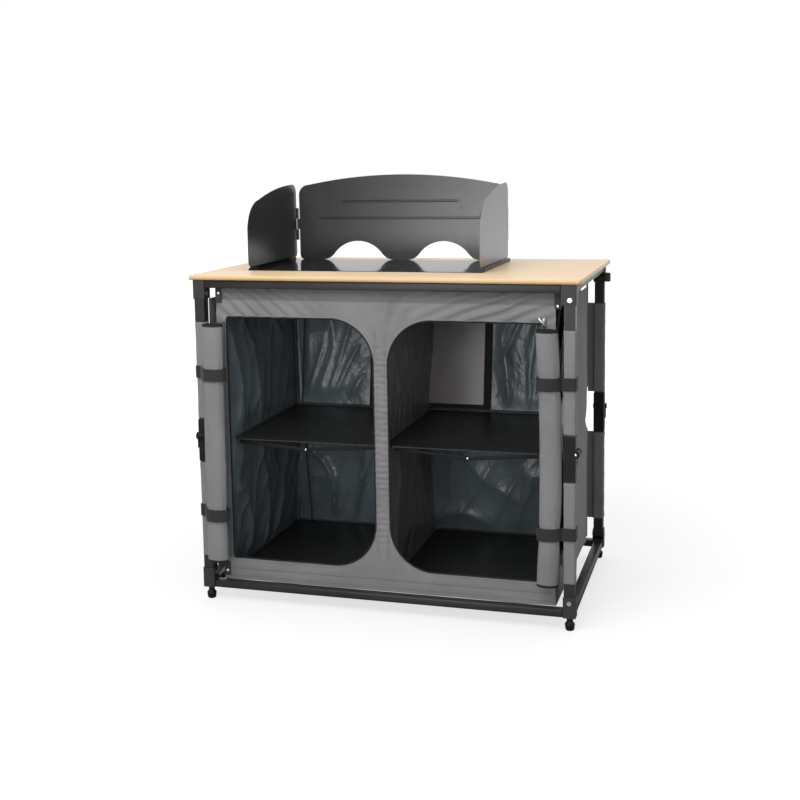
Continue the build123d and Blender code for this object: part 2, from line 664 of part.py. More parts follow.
with BuildPart() as back_panel:
    with BuildSketch(Plane.XZ.offset(-SHIELD_Y - SHEET / 2)):
        left = SHIELD_CENTRE_X - PANEL_HALF_WIDTH
        right = SHIELD_CENTRE_X + PANEL_HALF_WIDTH
        foot_z = TRAY_TOP
        corner_in = PANEL_TOP_CORNER * (1 - sqrt(0.5))
        bottom_in = PANEL_BOTTOM_CORNER * (1 - sqrt(0.5))
        shoulder_z = foot_z + PANEL_SHOULDER_HEIGHT
        with BuildLine():
            ThreePointArc(
                (left + PANEL_TOP_CORNER, shoulder_z),
                (SHIELD_CENTRE_X, foot_z + PANEL_HEIGHT),
                (right - PANEL_TOP_CORNER, shoulder_z),
            )
            ThreePointArc(
                (right - PANEL_TOP_CORNER, shoulder_z),
                (right - corner_in, shoulder_z - corner_in),
                (right, shoulder_z - PANEL_TOP_CORNER),
            )
            Line((right, shoulder_z - PANEL_TOP_CORNER), (right, foot_z + PANEL_BOTTOM_CORNER))
            ThreePointArc(
                (right, foot_z + PANEL_BOTTOM_CORNER),
                (right - bottom_in, foot_z + bottom_in),
                (right - PANEL_BOTTOM_CORNER, foot_z),
            )
            Line((right - PANEL_BOTTOM_CORNER, foot_z), (left + PANEL_BOTTOM_CORNER, foot_z))
            ThreePointArc(
                (left + PANEL_BOTTOM_CORNER, foot_z),
                (left + bottom_in, foot_z + bottom_in),
                (left, foot_z + PANEL_BOTTOM_CORNER),
            )
            Line((left, foot_z + PANEL_BOTTOM_CORNER), (left, shoulder_z - PANEL_TOP_CORNER))
            ThreePointArc(
                (left, shoulder_z - PANEL_TOP_CORNER),
                (left + corner_in, shoulder_z - corner_in),
                (left + PANEL_TOP_CORNER, shoulder_z),
            )
        make_face()
        for arch_x in (SHIELD_CENTRE_X - ARCH_CENTRE, SHIELD_CENTRE_X + ARCH_CENTRE):
            with BuildLine():
                ThreePointArc(
                    (arch_x - arch_half, foot_z),
                    (arch_x - arch_half + arch_bend_x, foot_z + arch_bend_z),
                    (arch_x - arch_meet_x, foot_z + arch_meet_z),
                )
                ThreePointArc(
                    (arch_x - arch_meet_x, foot_z + arch_meet_z),
                    (arch_x, foot_z + ARCH_HEIGHT),
                    (arch_x + arch_meet_x, foot_z + arch_meet_z),
                )
                ThreePointArc(
                    (arch_x + arch_meet_x, foot_z + arch_meet_z),
                    (arch_x + arch_half - arch_bend_x, foot_z + arch_bend_z),
                    (arch_x + arch_half, foot_z),
                )
                Line((arch_x + arch_half, foot_z), (arch_x - arch_half, foot_z))
            make_face(mode=Mode.SUBTRACT)
    extrude(amount=SHEET)
    for bead_half, bead_height in (
        (BEAD_HALF_UPPER, BEAD_UPPER_HEIGHT),
        (BEAD_HALF_LOWER, BEAD_LOWER_HEIGHT),
    ):
        bead_z = TRAY_TOP + bead_height
        with BuildSketch(Plane.XZ.offset(-SHIELD_Y - SHEET / 2)):
            with Locations((SHIELD_CENTRE_X, bead_z)):
                SlotOverall(2 * bead_half, 2 * BEAD_RADIUS)
        extrude(amount=-BEAD_DEPTH, taper=BEAD_SLOPE)
        with BuildSketch(Plane.XZ.offset(-SHIELD_Y + SHEET / 2)):
            with Locations((SHIELD_CENTRE_X, bead_z)):
                SlotOverall(2 * bead_half - 2 * SHEET, 2 * BEAD_RADIUS - 2 * SHEET)
        extrude(amount=-BEAD_DEPTH, taper=BEAD_SLOPE, mode=Mode.SUBTRACT)
    for side, middle_barrel in zip((-1, 1), middle_barrels):
        hinge_x, hinge_y = shield_end(side)
        tab_z = TRAY_TOP + HINGE_FOOT + hinge_pitch + HINGE_SEGMENT_GAP / 2
        edge_x = SHIELD_CENTRE_X + side * PANEL_HALF_WIDTH
        tab_rear = SHIELD_Y + SHEET / 2
        tab_front = min(SHIELD_Y - SHEET / 2, hinge_y + BARREL_RADIUS - SHEET)
        with BuildSketch(Plane.XY.offset(tab_z)):
            with Locations(((hinge_x + edge_x) / 2, (tab_front + tab_rear) / 2)):
                Rectangle(abs(hinge_x - edge_x), tab_rear - tab_front)
        extrude(amount=hinge_pitch - HINGE_SEGMENT_GAP)
        add(middle_barrel)
    add(pin_bores, mode=Mode.SUBTRACT)
keep(back_panel.part, "windshield_back_panel")


# Wing: a sheet with a sloping top that swings in over the tray on its hinge
def wing(side):
    hinge_x, hinge_y = shield_end(side)
    plane_x = hinge_x + side * WING_OFFSET
    foot_z = TRAY_TOP + WING_FLOOR_GAP
    rear_y = hinge_y - WING_HINGE_GAP
    front_y = rear_y - WING_LENGTH
    top_z = foot_z + WING_HEIGHT
    corner = WING_REAR_CORNER
    bevel = corner * (1 - sqrt(0.5))
    outer_segments = range(0, HINGE_SEGMENTS, 2)
    outer_barrels = [barrel(side, segment) for segment in outer_segments]
    bore = barrel_bore(side)
    with BuildPart() as panel:
        with BuildSketch(Plane.YZ.offset(plane_x - SHEET / 2)):
            with BuildLine():
                Line((rear_y - corner, foot_z), (front_y + corner, foot_z))
                ThreePointArc(
                    (front_y + corner, foot_z),
                    (front_y + bevel, foot_z + bevel),
                    (front_y, foot_z + corner),
                )
                Line((front_y, foot_z + corner), (front_y, foot_z + WING_FRONT_RISE))
                ThreePointArc(
                    (front_y, foot_z + WING_FRONT_RISE),
                    (front_y + WING_BEND_IN, top_z - WING_BEND_DROP),
                    (front_y + WING_SHOULDER_IN, top_z - WING_SHOULDER_DROP),
                )
                ThreePointArc(
                    (front_y + WING_SHOULDER_IN, top_z - WING_SHOULDER_DROP),
                    (front_y + WING_CREST_IN, top_z - WING_CREST_DROP),
                    (rear_y - WING_PEAK_IN, top_z),
                )
                ThreePointArc(
                    (rear_y - WING_PEAK_IN, top_z),
                    (rear_y - WING_PEAK_ROUND, top_z - WING_PEAK_ROUND),
                    (rear_y, top_z - WING_PEAK_IN),
                )
                Line((rear_y, top_z - WING_PEAK_IN), (rear_y, foot_z + corner))
                ThreePointArc(
                    (rear_y, foot_z + corner),
                    (rear_y - bevel, foot_z + bevel),
                    (rear_y - corner, foot_z),
                )
            make_face()
        extrude(amount=SHEET)
        for segment in outer_segments:
            tab_z = TRAY_TOP + HINGE_FOOT + segment * hinge_pitch + HINGE_SEGMENT_GAP / 2
            with BuildSketch(Plane.XY.offset(tab_z)):
                with Locations((plane_x, (rear_y + hinge_y) / 2)):
                    Rectangle(SHEET, hinge_y - rear_y)
            extrude(amount=hinge_pitch - HINGE_SEGMENT_GAP)
        add(outer_barrels)
        add(bore, mode=Mode.SUBTRACT)
    return panel.part


def hinge_pin(side):
    hinge_x, hinge_y = shield_end(side)
    with BuildPart() as pin:
        with BuildSketch(Plane.XY.offset(TRAY_TOP + HINGE_FOOT)):
            with Locations((hinge_x, hinge_y)):
                Circle(HINGE_PIN_RADIUS)
        extrude(amount=HINGE_HEIGHT)
        with BuildSketch(Plane.XY.offset(TRAY_TOP + HINGE_FOOT + HINGE_HEIGHT)):
            with Locations((hinge_x, hinge_y)):
                Circle(HINGE_PIN_HEAD)
        extrude(amount=HINGE_PIN_HEAD_THICK)
        with BuildSketch(Plane.XY.offset(TRAY_TOP + HINGE_FOOT - HINGE_PIN_HEAD_THICK)):
            with Locations((hinge_x, hinge_y)):
                Circle(HINGE_PIN_HEAD)
        extrude(amount=HINGE_PIN_HEAD_THICK)
    return pin.part


keep(wing(-1), "windshield_wing_left")
keep(wing(1), "windshield_wing_right")
keep(Compound(children=[hinge_pin(-1), hinge_pin(1)]), "windshield_hinge_pins")

# Front cloth with two tall openings
with BuildPart() as front_cloth:
    with BuildSketch(Plane.XZ.offset(-FRONT_CLOTH_Y)):
        with Locations((0, (FRONT_CLOTH_FOOT + FRONT_CLOTH_TOP) / 2)):
            Rectangle(2 * FRONT_CLOTH_HALF_WIDTH, FRONT_CLOTH_TOP - FRONT_CLOTH_FOOT)
        inner_bend = OPENING_INNER_CORNER * (1 - sqrt(0.5))
        for side in (-1, 1):
            inner_x = side * OPENING_INNER
            turn_x = side * (OPENING_INNER + OPENING_INNER_CORNER)
            bend_x = side * (OPENING_INNER + inner_bend)
            outer_x = side * OPENING_OUTER
            with BuildLine():
                Line((inner_x, OPENING_FOOT + OPENING_INNER_CORNER), (inner_x, OPENING_TOP - OPENING_INNER_CORNER))
                ThreePointArc(
                    (inner_x, OPENING_TOP - OPENING_INNER_CORNER),
                    (bend_x, OPENING_TOP - inner_bend),
                    (turn_x, OPENING_TOP),
                )
                Line((turn_x, OPENING_TOP), (outer_x, OPENING_TOP))
                Line((outer_x, OPENING_TOP), (outer_x, OPENING_FOOT))
                Line((outer_x, OPENING_FOOT), (turn_x, OPENING_FOOT))
                ThreePointArc(
                    (turn_x, OPENING_FOOT),
                    (bend_x, OPENING_FOOT + inner_bend),
                    (inner_x, OPENING_FOOT + OPENING_INNER_CORNER),
                )
            make_face(mode=Mode.SUBTRACT)
    extrude(amount=CLOTH)
keep(front_cloth.part, "front_cloth")


# Cloth body: walls that the shelf draws in at half height
def body_block(inset):
    with BuildPart() as block:
        for z, half_width, rear in BODY_SECTIONS:
            depth = rear - inset - FRONT_CLOTH_Y
            with BuildSketch(Plane.XY.offset(z)):
                with Locations((0, FRONT_CLOTH_Y + depth / 2)):
                    Rectangle(2 * (half_width - inset), depth)
        loft(ruled=True)
    return block.part


body_outside = body_block(0.0)
body_inside = body_block(CLOTH)
body_room = body_block(CLOTH + BOARD_GAP)
body_height = BODY_TOP - BODY_FOOT

with BuildPart() as side_walls:
    add(body_outside)
    add(body_inside, mode=Mode.SUBTRACT)
    with BuildSketch(Plane.XY.offset(BODY_FOOT)):
        Rectangle(2 * REAR_WALL_HALF, WORKTOP_DEPTH)
    extrude(amount=body_height, mode=Mode.SUBTRACT)
keep(side_walls.part, "inner_side_walls")

with BuildPart() as rear_wall:
    add(body_outside)
    add(body_inside, mode=Mode.SUBTRACT)
    with BuildSketch(Plane.XY.offset(BODY_FOOT)):
        Rectangle(2 * REAR_WALL_HALF, WORKTOP_DEPTH)
    extrude(amount=body_height, mode=Mode.INTERSECT)
    with BuildSketch(Plane.XZ):
        with Locations((0, (WINDOW_FOOT + WINDOW_TOP) / 2)):
            Rectangle(2 * WINDOW_HALF_WIDTH, WINDOW_TOP - WINDOW_FOOT)
    extrude(amount=-WORKTOP_DEPTH, mode=Mode.SUBTRACT)
keep(rear_wall.part, "rear_wall")

with BuildPart() as window:
    add(body_outside)
    add(body_inside, mode=Mode.SUBTRACT)
    with BuildSketch(Plane.XZ):
        with Locations((0, (WINDOW_FOOT + WINDOW_TOP) / 2)):
            Rectangle(
                2 * (WINDOW_HALF_WIDTH - WINDOW_GAP), WINDOW_TOP - WINDOW_FOOT - 2 * WINDOW_GAP
            )
    extrude(amount=-WORKTOP_DEPTH, mode=Mode.INTERSECT)
keep(window.part, "rear_window")

with BuildPart() as divider:
    add(body_room)
    with BuildSketch(Plane.XY.offset(BODY_FOOT + CLOTH)):
        Rectangle(CLOTH, WORKTOP_DEPTH)
    extrude(amount=body_height, mode=Mode.INTERSECT)
keep(divider.part, "divider_wall")

with BuildPart() as base_cloth:
    add(body_room)
    with BuildSketch(Plane.XY.offset(BODY_FOOT)):
        Rectangle(WORKTOP_WIDTH, WORKTOP_DEPTH)
    extrude(amount=CLOTH, mode=Mode.INTERSECT)
keep(base_cloth.part, "base_cloth")


# Outer side panel between two legs, cut back at the knuckles and along its foot
def side_panel(side):
    leg_reach = max(BLOCK / 2, TUBE / 2 + SLEEVE_GAP + SLEEVE_THICK)
    inner_face = LEG_X - leg_reach - SIDE_PANEL_GAP - SIDE_PANEL_THICK
    panel_x = inner_face if side > 0 else -inner_face - SIDE_PANEL_THICK
    with BuildPart() as panel:
        with BuildSketch(Plane.YZ.offset(panel_x)):
            with BuildLine():
                ThreePointArc(
                    (-SIDE_PANEL_HALF_DEPTH, SIDE_PANEL_FOOT),
                    (0, SIDE_PANEL_FOOT + SIDE_PANEL_RISE),
                    (SIDE_PANEL_HALF_DEPTH, SIDE_PANEL_FOOT),
                )
                Polyline(
                    (SIDE_PANEL_HALF_DEPTH, SIDE_PANEL_FOOT),
                    (SIDE_PANEL_HALF_DEPTH, SIDE_PANEL_TOP),
                    (-SIDE_PANEL_HALF_DEPTH, SIDE_PANEL_TOP),
                    (-SIDE_PANEL_HALF_DEPTH, SIDE_PANEL_FOOT),
                )
            make_face()
            with Locations((-SIDE_PANEL_HALF_DEPTH, KNEE_Z), (SIDE_PANEL_HALF_DEPTH, KNEE_Z)):
                Ellipse(SIDE_NOTCH_DEPTH, SIDE_NOTCH_HALF_HEIGHT, mode=Mode.SUBTRACT)
        extrude(amount=SIDE_PANEL_THICK)
    return panel.part


keep(Compound(children=[side_panel(-1), side_panel(1)]), "outer_side_panels")


# Boards: a floor board and a shelf in each half of the body
def board(side, top_z, half_width, front_y, rear_y):
    inner_x = CLOTH / 2 + BOARD_DIVIDER_GAP
    width = half_width - inner_x
    depth = rear_y - front_y
    with BuildPart() as slab:
        with BuildSketch(Plane.XY.offset(top_z - BOARD_THICK)):
            with Locations((side * (inner_x + width / 2), (front_y + rear_y) / 2)):
                RectangleRounded(width, depth, BOARD_CORNER)
        extrude(amount=BOARD_THICK)
    return slab.part


shelf_half_width = BODY_HALF_WIDTH_SHELF - CLOTH - BOARD_GAP
shelf_rear = BODY_REAR_SHELF - CLOTH - BOARD_GAP
floor_top = BODY_FOOT + CLOTH + BOARD_THICK
floor_half_width = BODY_HALF_WIDTH_FLOOR - 2 * CLOTH
floor_rear = BODY_REAR_FLOOR - 2 * CLOTH
for side_name, side in (("left", -1), ("right", 1)):
    keep(board(side, SHELF_TOP, shelf_half_width, -SHELF_FRONT, shelf_rear), f"shelf_board_{side_name}")
    keep(board(side, floor_top, floor_half_width, -FLOOR_BOARD_FRONT, floor_rear), f"floor_board_{side_name}")


# Shelf brace: two flat bars on edge that meet at a rivet just below the board
def brace(side):
    inner_x = CLOTH / 2 + BOARD_DIVIDER_GAP
    centre_x = side * (inner_x + shelf_half_width) / 2
    half_length = (shelf_half_width - inner_x) / 2 - BRACE_END_MARGIN
    end_z = SHELF_TOP - BOARD_THICK - BRACE_BAR_WIDTH / 2 - BRACE_SEAT_GAP
    rivet_z = SHELF_TOP - BRACE_DIP
    front_y = -SHELF_FRONT + BRACE_SETBACK
    pieces = []
    for end, rear_y in ((-1, front_y + BRACE_BAR_THICK), (1, front_y + 2 * BRACE_BAR_THICK)):
        with BuildPart() as bar:
            with BuildSketch(Plane.XZ.offset(-rear_y)):
                SlotCenterPoint(
                    center=(centre_x + end * half_length / 2, (end_z + rivet_z) / 2),
                    point=(centre_x, rivet_z),
                    height=BRACE_BAR_WIDTH,
                )
                with Locations((centre_x, rivet_z)):
                    Circle(BRACE_RIVET_RADIUS + RIVET_HOLE_GAP, mode=Mode.SUBTRACT)
            extrude(amount=BRACE_BAR_THICK)
        pieces.append(bar.part)
    with BuildPart() as rivet:
        with BuildSketch(Plane.XZ.offset(-front_y)):
            with Locations((centre_x, rivet_z)):
                Circle(BRACE_RIVET_HEAD)
        extrude(amount=BRACE_BAR_THICK / 2)
        with BuildSketch(Plane.XZ.offset(-front_y)):
            with Locations((centre_x, rivet_z)):
                Circle(BRACE_RIVET_RADIUS)
        extrude(amount=-2 * BRACE_BAR_THICK)
    pieces.append(rivet.part)
    return pieces


keep(Compound(children=brace(-1) + brace(1)), "shelf_braces")


# Rolled door: the cloth door rolled outwards, a little slimmer where the straps draw it in
def rolled_door(centre_x, centre_y):
    with BuildPart() as roll:
        for z, squeeze in ROLL_SECTIONS:
            with BuildSketch(Plane.XY.offset(z)):
                with Locations((centre_x, centre_y)):
                    Ellipse(ROLL_WIDTH / 2 - squeeze, ROLL_THICK / 2 - squeeze)
        loft(ruled=True)
    return roll.part


def door_flap(centre_y):
    """The unrolled strip of the left door, from its seam on the front cloth to the roll."""
    flap_x = -OPENING_OUTER - FLAP_THICK
    rear_y = FRONT_CLOTH_Y - CLOTH - STRAP_GAP
    with BuildPart() as flap:
        with BuildSketch(Plane.XY.offset(ROLL_FOOT)):
            with Locations((flap_x, (centre_y + rear_y) / 2)):
                Rectangle(FLAP_THICK, rear_y - centre_y)
        extrude(amount=ROLL_TOP - ROLL_FOOT)
        for z in STRAP_HEIGHTS:
            with BuildSketch(Plane.XY.offset(z - STRAP_WIDTH / 2 - STRAP_GAP)):
                with Locations((flap_x, centre_y)):
                    Rectangle(ROLL_WIDTH, WORKTOP_DEPTH)
            extrude(amount=STRAP_WIDTH + 2 * STRAP_GAP, mode=Mode.SUBTRACT)
    return flap.part


# Strap round a rolled door, and a tail that reaches round the leg beside it
def roll_strap(centre_x, centre_y, z):
    inner_x = ROLL_WIDTH / 2 - ROLL_SQUEEZE + STRAP_GAP
    inner_y = ROLL_THICK / 2 - ROLL_SQUEEZE + STRAP_GAP
    with BuildPart() as band:
        with BuildSketch(Plane.XY.offset(z - STRAP_WIDTH / 2)):
            with Locations((centre_x, centre_y)):
                Ellipse(inner_x + STRAP_THICK, inner_y + STRAP_THICK)
                Ellipse(inner_x, inner_y, mode=Mode.SUBTRACT)
        extrude(amount=STRAP_WIDTH)
    return band.part


def leg_strap(side, centre_x, centre_y, z):
    """A strap whose band round the roll goes on over the leg's outer face."""
    ring = roll_strap(centre_x, centre_y, z)
    ring_edge = abs(centre_x) + ROLL_WIDTH / 2 - ROLL_SQUEEZE + STRAP_GAP + STRAP_THICK / 2
    face_x = LEG_X + TUBE / 2 + SLEEVE_GAP + SLEEVE_THICK + STRAP_GAP
    face_y = min(centre_y, LEG_FRONT_Y - STRAP_GAP)
    reach_y = -(LEG_Y - TUBE / 2)
    with BuildPart() as band:
        add(ring)
        with BuildSketch(Plane.XY.offset(z - STRAP_WIDTH / 2)):
            with Locations((side * (ring_edge + face_x + STRAP_THICK) / 2, face_y - STRAP_THICK / 2)):
                Rectangle(face_x + STRAP_THICK - ring_edge, STRAP_THICK)
            with Locations((side * (face_x + STRAP_THICK / 2), (face_y + reach_y) / 2)):
                Rectangle(STRAP_THICK, reach_y - face_y)
        extrude(amount=STRAP_WIDTH)
    return band.part


LEG_FRONT_Y = -(LEG_Y + TUBE / 2 + SLEEVE_GAP + SLEEVE_THICK)
LEFT_ROLL_Y = -(LEG_Y + PIVOT_OUT + EAR_RADIUS + STRAP_GAP + ROLL_THICK / 2)
RIGHT_ROLL_Y = FRONT_CLOTH_Y - CLOTH - STRAP_GAP - ROLL_THICK / 2
STRAP_HEIGHTS = (STRAP_LOW, STRAP_HIGH)
left_straps = [leg_strap(-1, -ROLL_LEFT_X, LEFT_ROLL_Y, z) for z in STRAP_HEIGHTS]
right_straps = [leg_strap(1, ROLL_RIGHT_X, RIGHT_ROLL_Y, z) for z in STRAP_HEIGHTS]
left_flap = door_flap(LEFT_ROLL_Y)
left_roll = rolled_door(-ROLL_LEFT_X, LEFT_ROLL_Y)
with BuildPart() as left_door:
    add(left_roll)
    add(left_flap)
keep(left_door.part, "rolled_door_left")
keep(rolled_door(ROLL_RIGHT_X, RIGHT_ROLL_Y), "rolled_door_right")
keep(Compound(children=left_straps + right_straps), "roll_straps")

# Zip slider parked at the top outer corner of the right opening, with its pull hanging down
with BuildPart() as zip_slider:
    with BuildSketch(Plane.XZ.offset(-FRONT_CLOTH_Y + CLOTH)):
        with Locations((OPENING_OUTER, OPENING_TOP + SLIDER_LENGTH / 2)):
            RectangleRounded(SLIDER_WIDTH, SLIDER_LENGTH, SLIDER_WIDTH / 3)
    extrude(amount=SLIDER_THICK)
    with BuildSketch(Plane.XZ.offset(-FRONT_CLOTH_Y + CLOTH + SLIDER_THICK)):
        with Locations((OPENING_OUTER - SLIDER_WIDTH, OPENING_TOP + SLIDER_LENGTH / 2)):
            RectangleRounded(2 * SLIDER_WIDTH, SLIDER_WIDTH / 2, SLIDER_WIDTH / 5)
    extrude(amount=SLIDER_THICK / 2)
keep(zip_slider.part, "zip_slider")


# Riveted cloth tabs: two hang the front from the top rail, one ties it to the base
def tab(centre_x, foot_z, stud_z):
    with BuildPart() as strip:
        with BuildSketch(Plane.XZ.offset(-FRONT_CLOTH_Y + CLOTH)):
            with Locations((centre_x, foot_z + TAB_LENGTH / 2)):
                Rectangle(TAB_WIDTH, TAB_LENGTH)
        extrude(amount=TAB_THICK)
        with BuildSketch(Plane.XZ.offset(-FRONT_CLOTH_Y + CLOTH + TAB_THICK)):
            with Locations((centre_x, stud_z)):
                Circle(TAB_STUD_RADIUS)
        extrude(amount=TAB_STUD_THICK)
    return strip.part


TAB_X = FRONT_CLOTH_HALF_WIDTH - TAB_WIDTH / 2
top_tab_z = FRONT_CLOTH_TOP - TAB_LENGTH
top_tabs = [tab(side * TAB_X, top_tab_z, FRONT_CLOTH_TOP - TAB_STUD_DOWN) for side in (-1, 1)]
foot_tab = tab(-TAB_X, FRONT_CLOTH_FOOT, FRONT_CLOTH_FOOT + TAB_STUD_DOWN)
keep(Compound(children=top_tabs + [foot_tab]), "hanger_tabs")

# Hook on the outer face of the rear right corner block, beside the leg's rivet
hook_x = LEG_X + BLOCK / 2
hook_y = LEG_Y - RIVET_HEAD_RADIUS - HOOK_DEPTH / 2 - EAR_THICK
hook_z = UPPER_PIVOT_Z + HOOK_HEIGHT / 2
with BuildPart() as hook:
    with BuildSketch(Plane.XZ.offset(-hook_y - HOOK_DEPTH / 2)):
        with BuildLine():
            Polyline(
                (hook_x, hook_z),
                (hook_x, hook_z - HOOK_HEIGHT),
                (hook_x + HOOK_OUT, hook_z - HOOK_HEIGHT),
                (hook_x + HOOK_OUT, hook_z - HOOK_HEIGHT + HOOK_DROP),
                (hook_x + HOOK_LIP + HOOK_SLOT, hook_z - HOOK_HEIGHT + HOOK_DROP),
                (hook_x + HOOK_LIP + HOOK_SLOT, hook_z - HOOK_HEIGHT + HOOK_LIP),
                (hook_x + HOOK_LIP, hook_z - HOOK_HEIGHT + HOOK_LIP),
                (hook_x + HOOK_LIP, hook_z),
                close=True,
            )
        make_face()
    extrude(amount=HOOK_DEPTH)
keep(hook.part, "corner_hook")
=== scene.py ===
from math import atan2, cos, exp, hypot, pi, radians, sin
import bmesh
import bpy
from mathutils import Matrix, Vector, noise


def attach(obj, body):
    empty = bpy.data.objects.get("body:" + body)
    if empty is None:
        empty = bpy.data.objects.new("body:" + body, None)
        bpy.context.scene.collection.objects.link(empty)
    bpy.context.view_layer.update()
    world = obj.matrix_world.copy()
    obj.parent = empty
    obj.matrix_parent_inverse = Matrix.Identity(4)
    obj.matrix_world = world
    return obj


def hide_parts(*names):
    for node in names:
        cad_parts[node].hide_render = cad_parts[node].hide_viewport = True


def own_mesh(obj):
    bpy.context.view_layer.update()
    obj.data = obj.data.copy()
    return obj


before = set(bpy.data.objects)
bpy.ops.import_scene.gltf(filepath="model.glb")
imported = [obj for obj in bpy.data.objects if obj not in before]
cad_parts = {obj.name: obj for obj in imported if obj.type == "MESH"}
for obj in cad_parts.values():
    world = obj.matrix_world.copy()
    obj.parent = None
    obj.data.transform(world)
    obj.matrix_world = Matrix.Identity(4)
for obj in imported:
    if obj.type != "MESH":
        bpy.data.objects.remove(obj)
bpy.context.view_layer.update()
scene = bpy.context.scene


# ---- Studio ----
# A plain pale floor and a white surround that is dim in front of the cupboard, five soft
# lamps and the camera at the photograph's angle. None of it belongs to the cupboard.
CAMERA_AT = Vector((0.84883, -2.99674, 1.08979))
CAMERA_YAW = radians(16.26)
CAMERA_PITCH = radians(7.43)
CAMERA_ROLL = radians(-0.90)
PICTURE_WIDTH = 800.0
FOCAL_PIXELS = 1221.5
CENTRE_PIXEL_Y = 320.0
SENSOR_WIDTH = 36.0
WHITE = (1.0, 1.0, 1.0, 1.0)
FLOOR_COLOUR = (0.36, 0.36, 0.36, 1.0)
FLOOR_GLOW = 0.70
WORLD_FRONT = 0.24
WORLD_BEHIND = 0.60

forward = Vector((-sin(CAMERA_YAW) * cos(CAMERA_PITCH), cos(CAMERA_YAW) * cos(CAMERA_PITCH), -sin(CAMERA_PITCH)))
level_right = Vector((cos(CAMERA_YAW), sin(CAMERA_YAW), 0.0))
level_up = level_right.cross(forward)
view_right = cos(CAMERA_ROLL) * level_right + sin(CAMERA_ROLL) * level_up
view_up = -sin(CAMERA_ROLL) * level_right + cos(CAMERA_ROLL) * level_up
camera_data = bpy.data.cameras.new("camera")
camera_data.sensor_width = SENSOR_WIDTH
camera_data.lens = FOCAL_PIXELS / PICTURE_WIDTH * SENSOR_WIDTH
camera_data.shift_y = (CENTRE_PIXEL_Y - PICTURE_WIDTH / 2) / PICTURE_WIDTH
camera_data.clip_end = 100.0
camera = bpy.data.objects.new("camera", camera_data)
camera.matrix_world = Matrix((
    (view_right.x, view_up.x, -forward.x, CAMERA_AT.x),
    (view_right.y, view_up.y, -forward.y, CAMERA_AT.y),
    (view_right.z, view_up.z, -forward.z, CAMERA_AT.z),
    (0.0, 0.0, 0.0, 1.0),
))
scene.collection.objects.link(camera)
scene.camera = camera
scene.view_settings.view_transform = "Standard"


def add_math(tree, operation, *values):
    """The output of a math node that takes other outputs or plain numbers."""
    node = tree.nodes.new("ShaderNodeMath")
    node.operation = operation
    for value, socket in zip(values, node.inputs):
        if isinstance(value, float):
            socket.default_value = value
        else:
            tree.links.new(value, socket)
    return node.outputs[0]


def map_range(tree, value, start, stop, low=0.0, high=1.0):
    """An output brought from one span of values to another."""
    node = tree.nodes.new("ShaderNodeMapRange")
    for name, number in (("From Min", start), ("From Max", stop), ("To Min", low), ("To Max", high)):
        node.inputs[name].default_value = number
    tree.links.new(value, node.inputs["Value"])
    return node.outputs["Result"]


def seen_white(tree, behind):
    """1 for camera rays and rays through film, and for mirrored rays as far as they lead behind."""
    ray = tree.nodes.new("ShaderNodeLightPath")
    straight = add_math(tree, "MAXIMUM", ray.outputs["Is Camera Ray"], ray.outputs["Is Transmission Ray"])
    share = add_math(tree, "MULTIPLY_ADD", ray.outputs["Is Glossy Ray"], behind, straight)
    share.node.use_clamp = True
    return share


world = bpy.data.worlds.new("surround")
scene.world = world
world.use_nodes = True
sky = world.node_tree
sky.nodes.clear()
world_out = sky.nodes.new("ShaderNodeOutputWorld")
seen = sky.nodes.new("ShaderNodeBackground")
seen.inputs["Color"].default_value = WHITE
seen.inputs["Strength"].default_value = 1.0
fill = sky.nodes.new("ShaderNodeBackground")
fill.inputs["Color"].default_value = WHITE
around = sky.nodes.new("ShaderNodeTexCoord")
heading = sky.nodes.new("ShaderNodeSeparateXYZ")
sky.links.new(around.outputs["Generated"], heading.inputs[0])
behind = map_range(sky, heading.outputs["Y"], -0.45, 0.15)
sky.links.new(map_range(sky, behind, 0.0, 1.0, WORLD_FRONT, WORLD_BEHIND), fill.inputs["Strength"])
surround = sky.nodes.new("ShaderNodeMixShader")
sky.links.new(seen_white(sky, behind), surround.inputs["Fac"])
sky.links.new(fill.outputs[0], surround.inputs[1])
sky.links.new(seen.outputs[0], surround.inputs[2])
sky.links.new(surround.outputs[0], world_out.inputs["Surface"])


def lamp(name, place, target, width, height, power):
    data = bpy.data.lights.new(name, "AREA")
    data.shape = "RECTANGLE"
    data.size = width
    data.size_y = height
    data.energy = power
    thing = bpy.data.objects.new(name, data)
    thing.location = place
    thing.rotation_euler = (Vector(target) - Vector(place)).to_track_quat("-Z", "Y").to_euler()
    scene.collection.objects.link(thing)


lamp("front_softbox", (-0.05, -3.3, 0.95), (0.0, 0.0, 0.6), 1.3, 0.9, 17.0)
lamp("panel_softbox", (-0.70, -3.3, 0.50), (0.0, 0.2, 0.9), 0.6, 0.4, 8.0)
lamp("high_softbox", (-0.4, -1.8, 2.3), (0.0, 0.0, 0.7), 1.8, 1.2, 35.0)
lamp("overhead_softbox", (0.2, 0.2, 3.2), (0.0, 0.0, 0.8), 2.4, 2.0, 24.0)
lamp("right_softbox", (1.7, -3.0, 1.3), (0.2, 0.0, 0.5), 1.2, 1.2, 6.0)

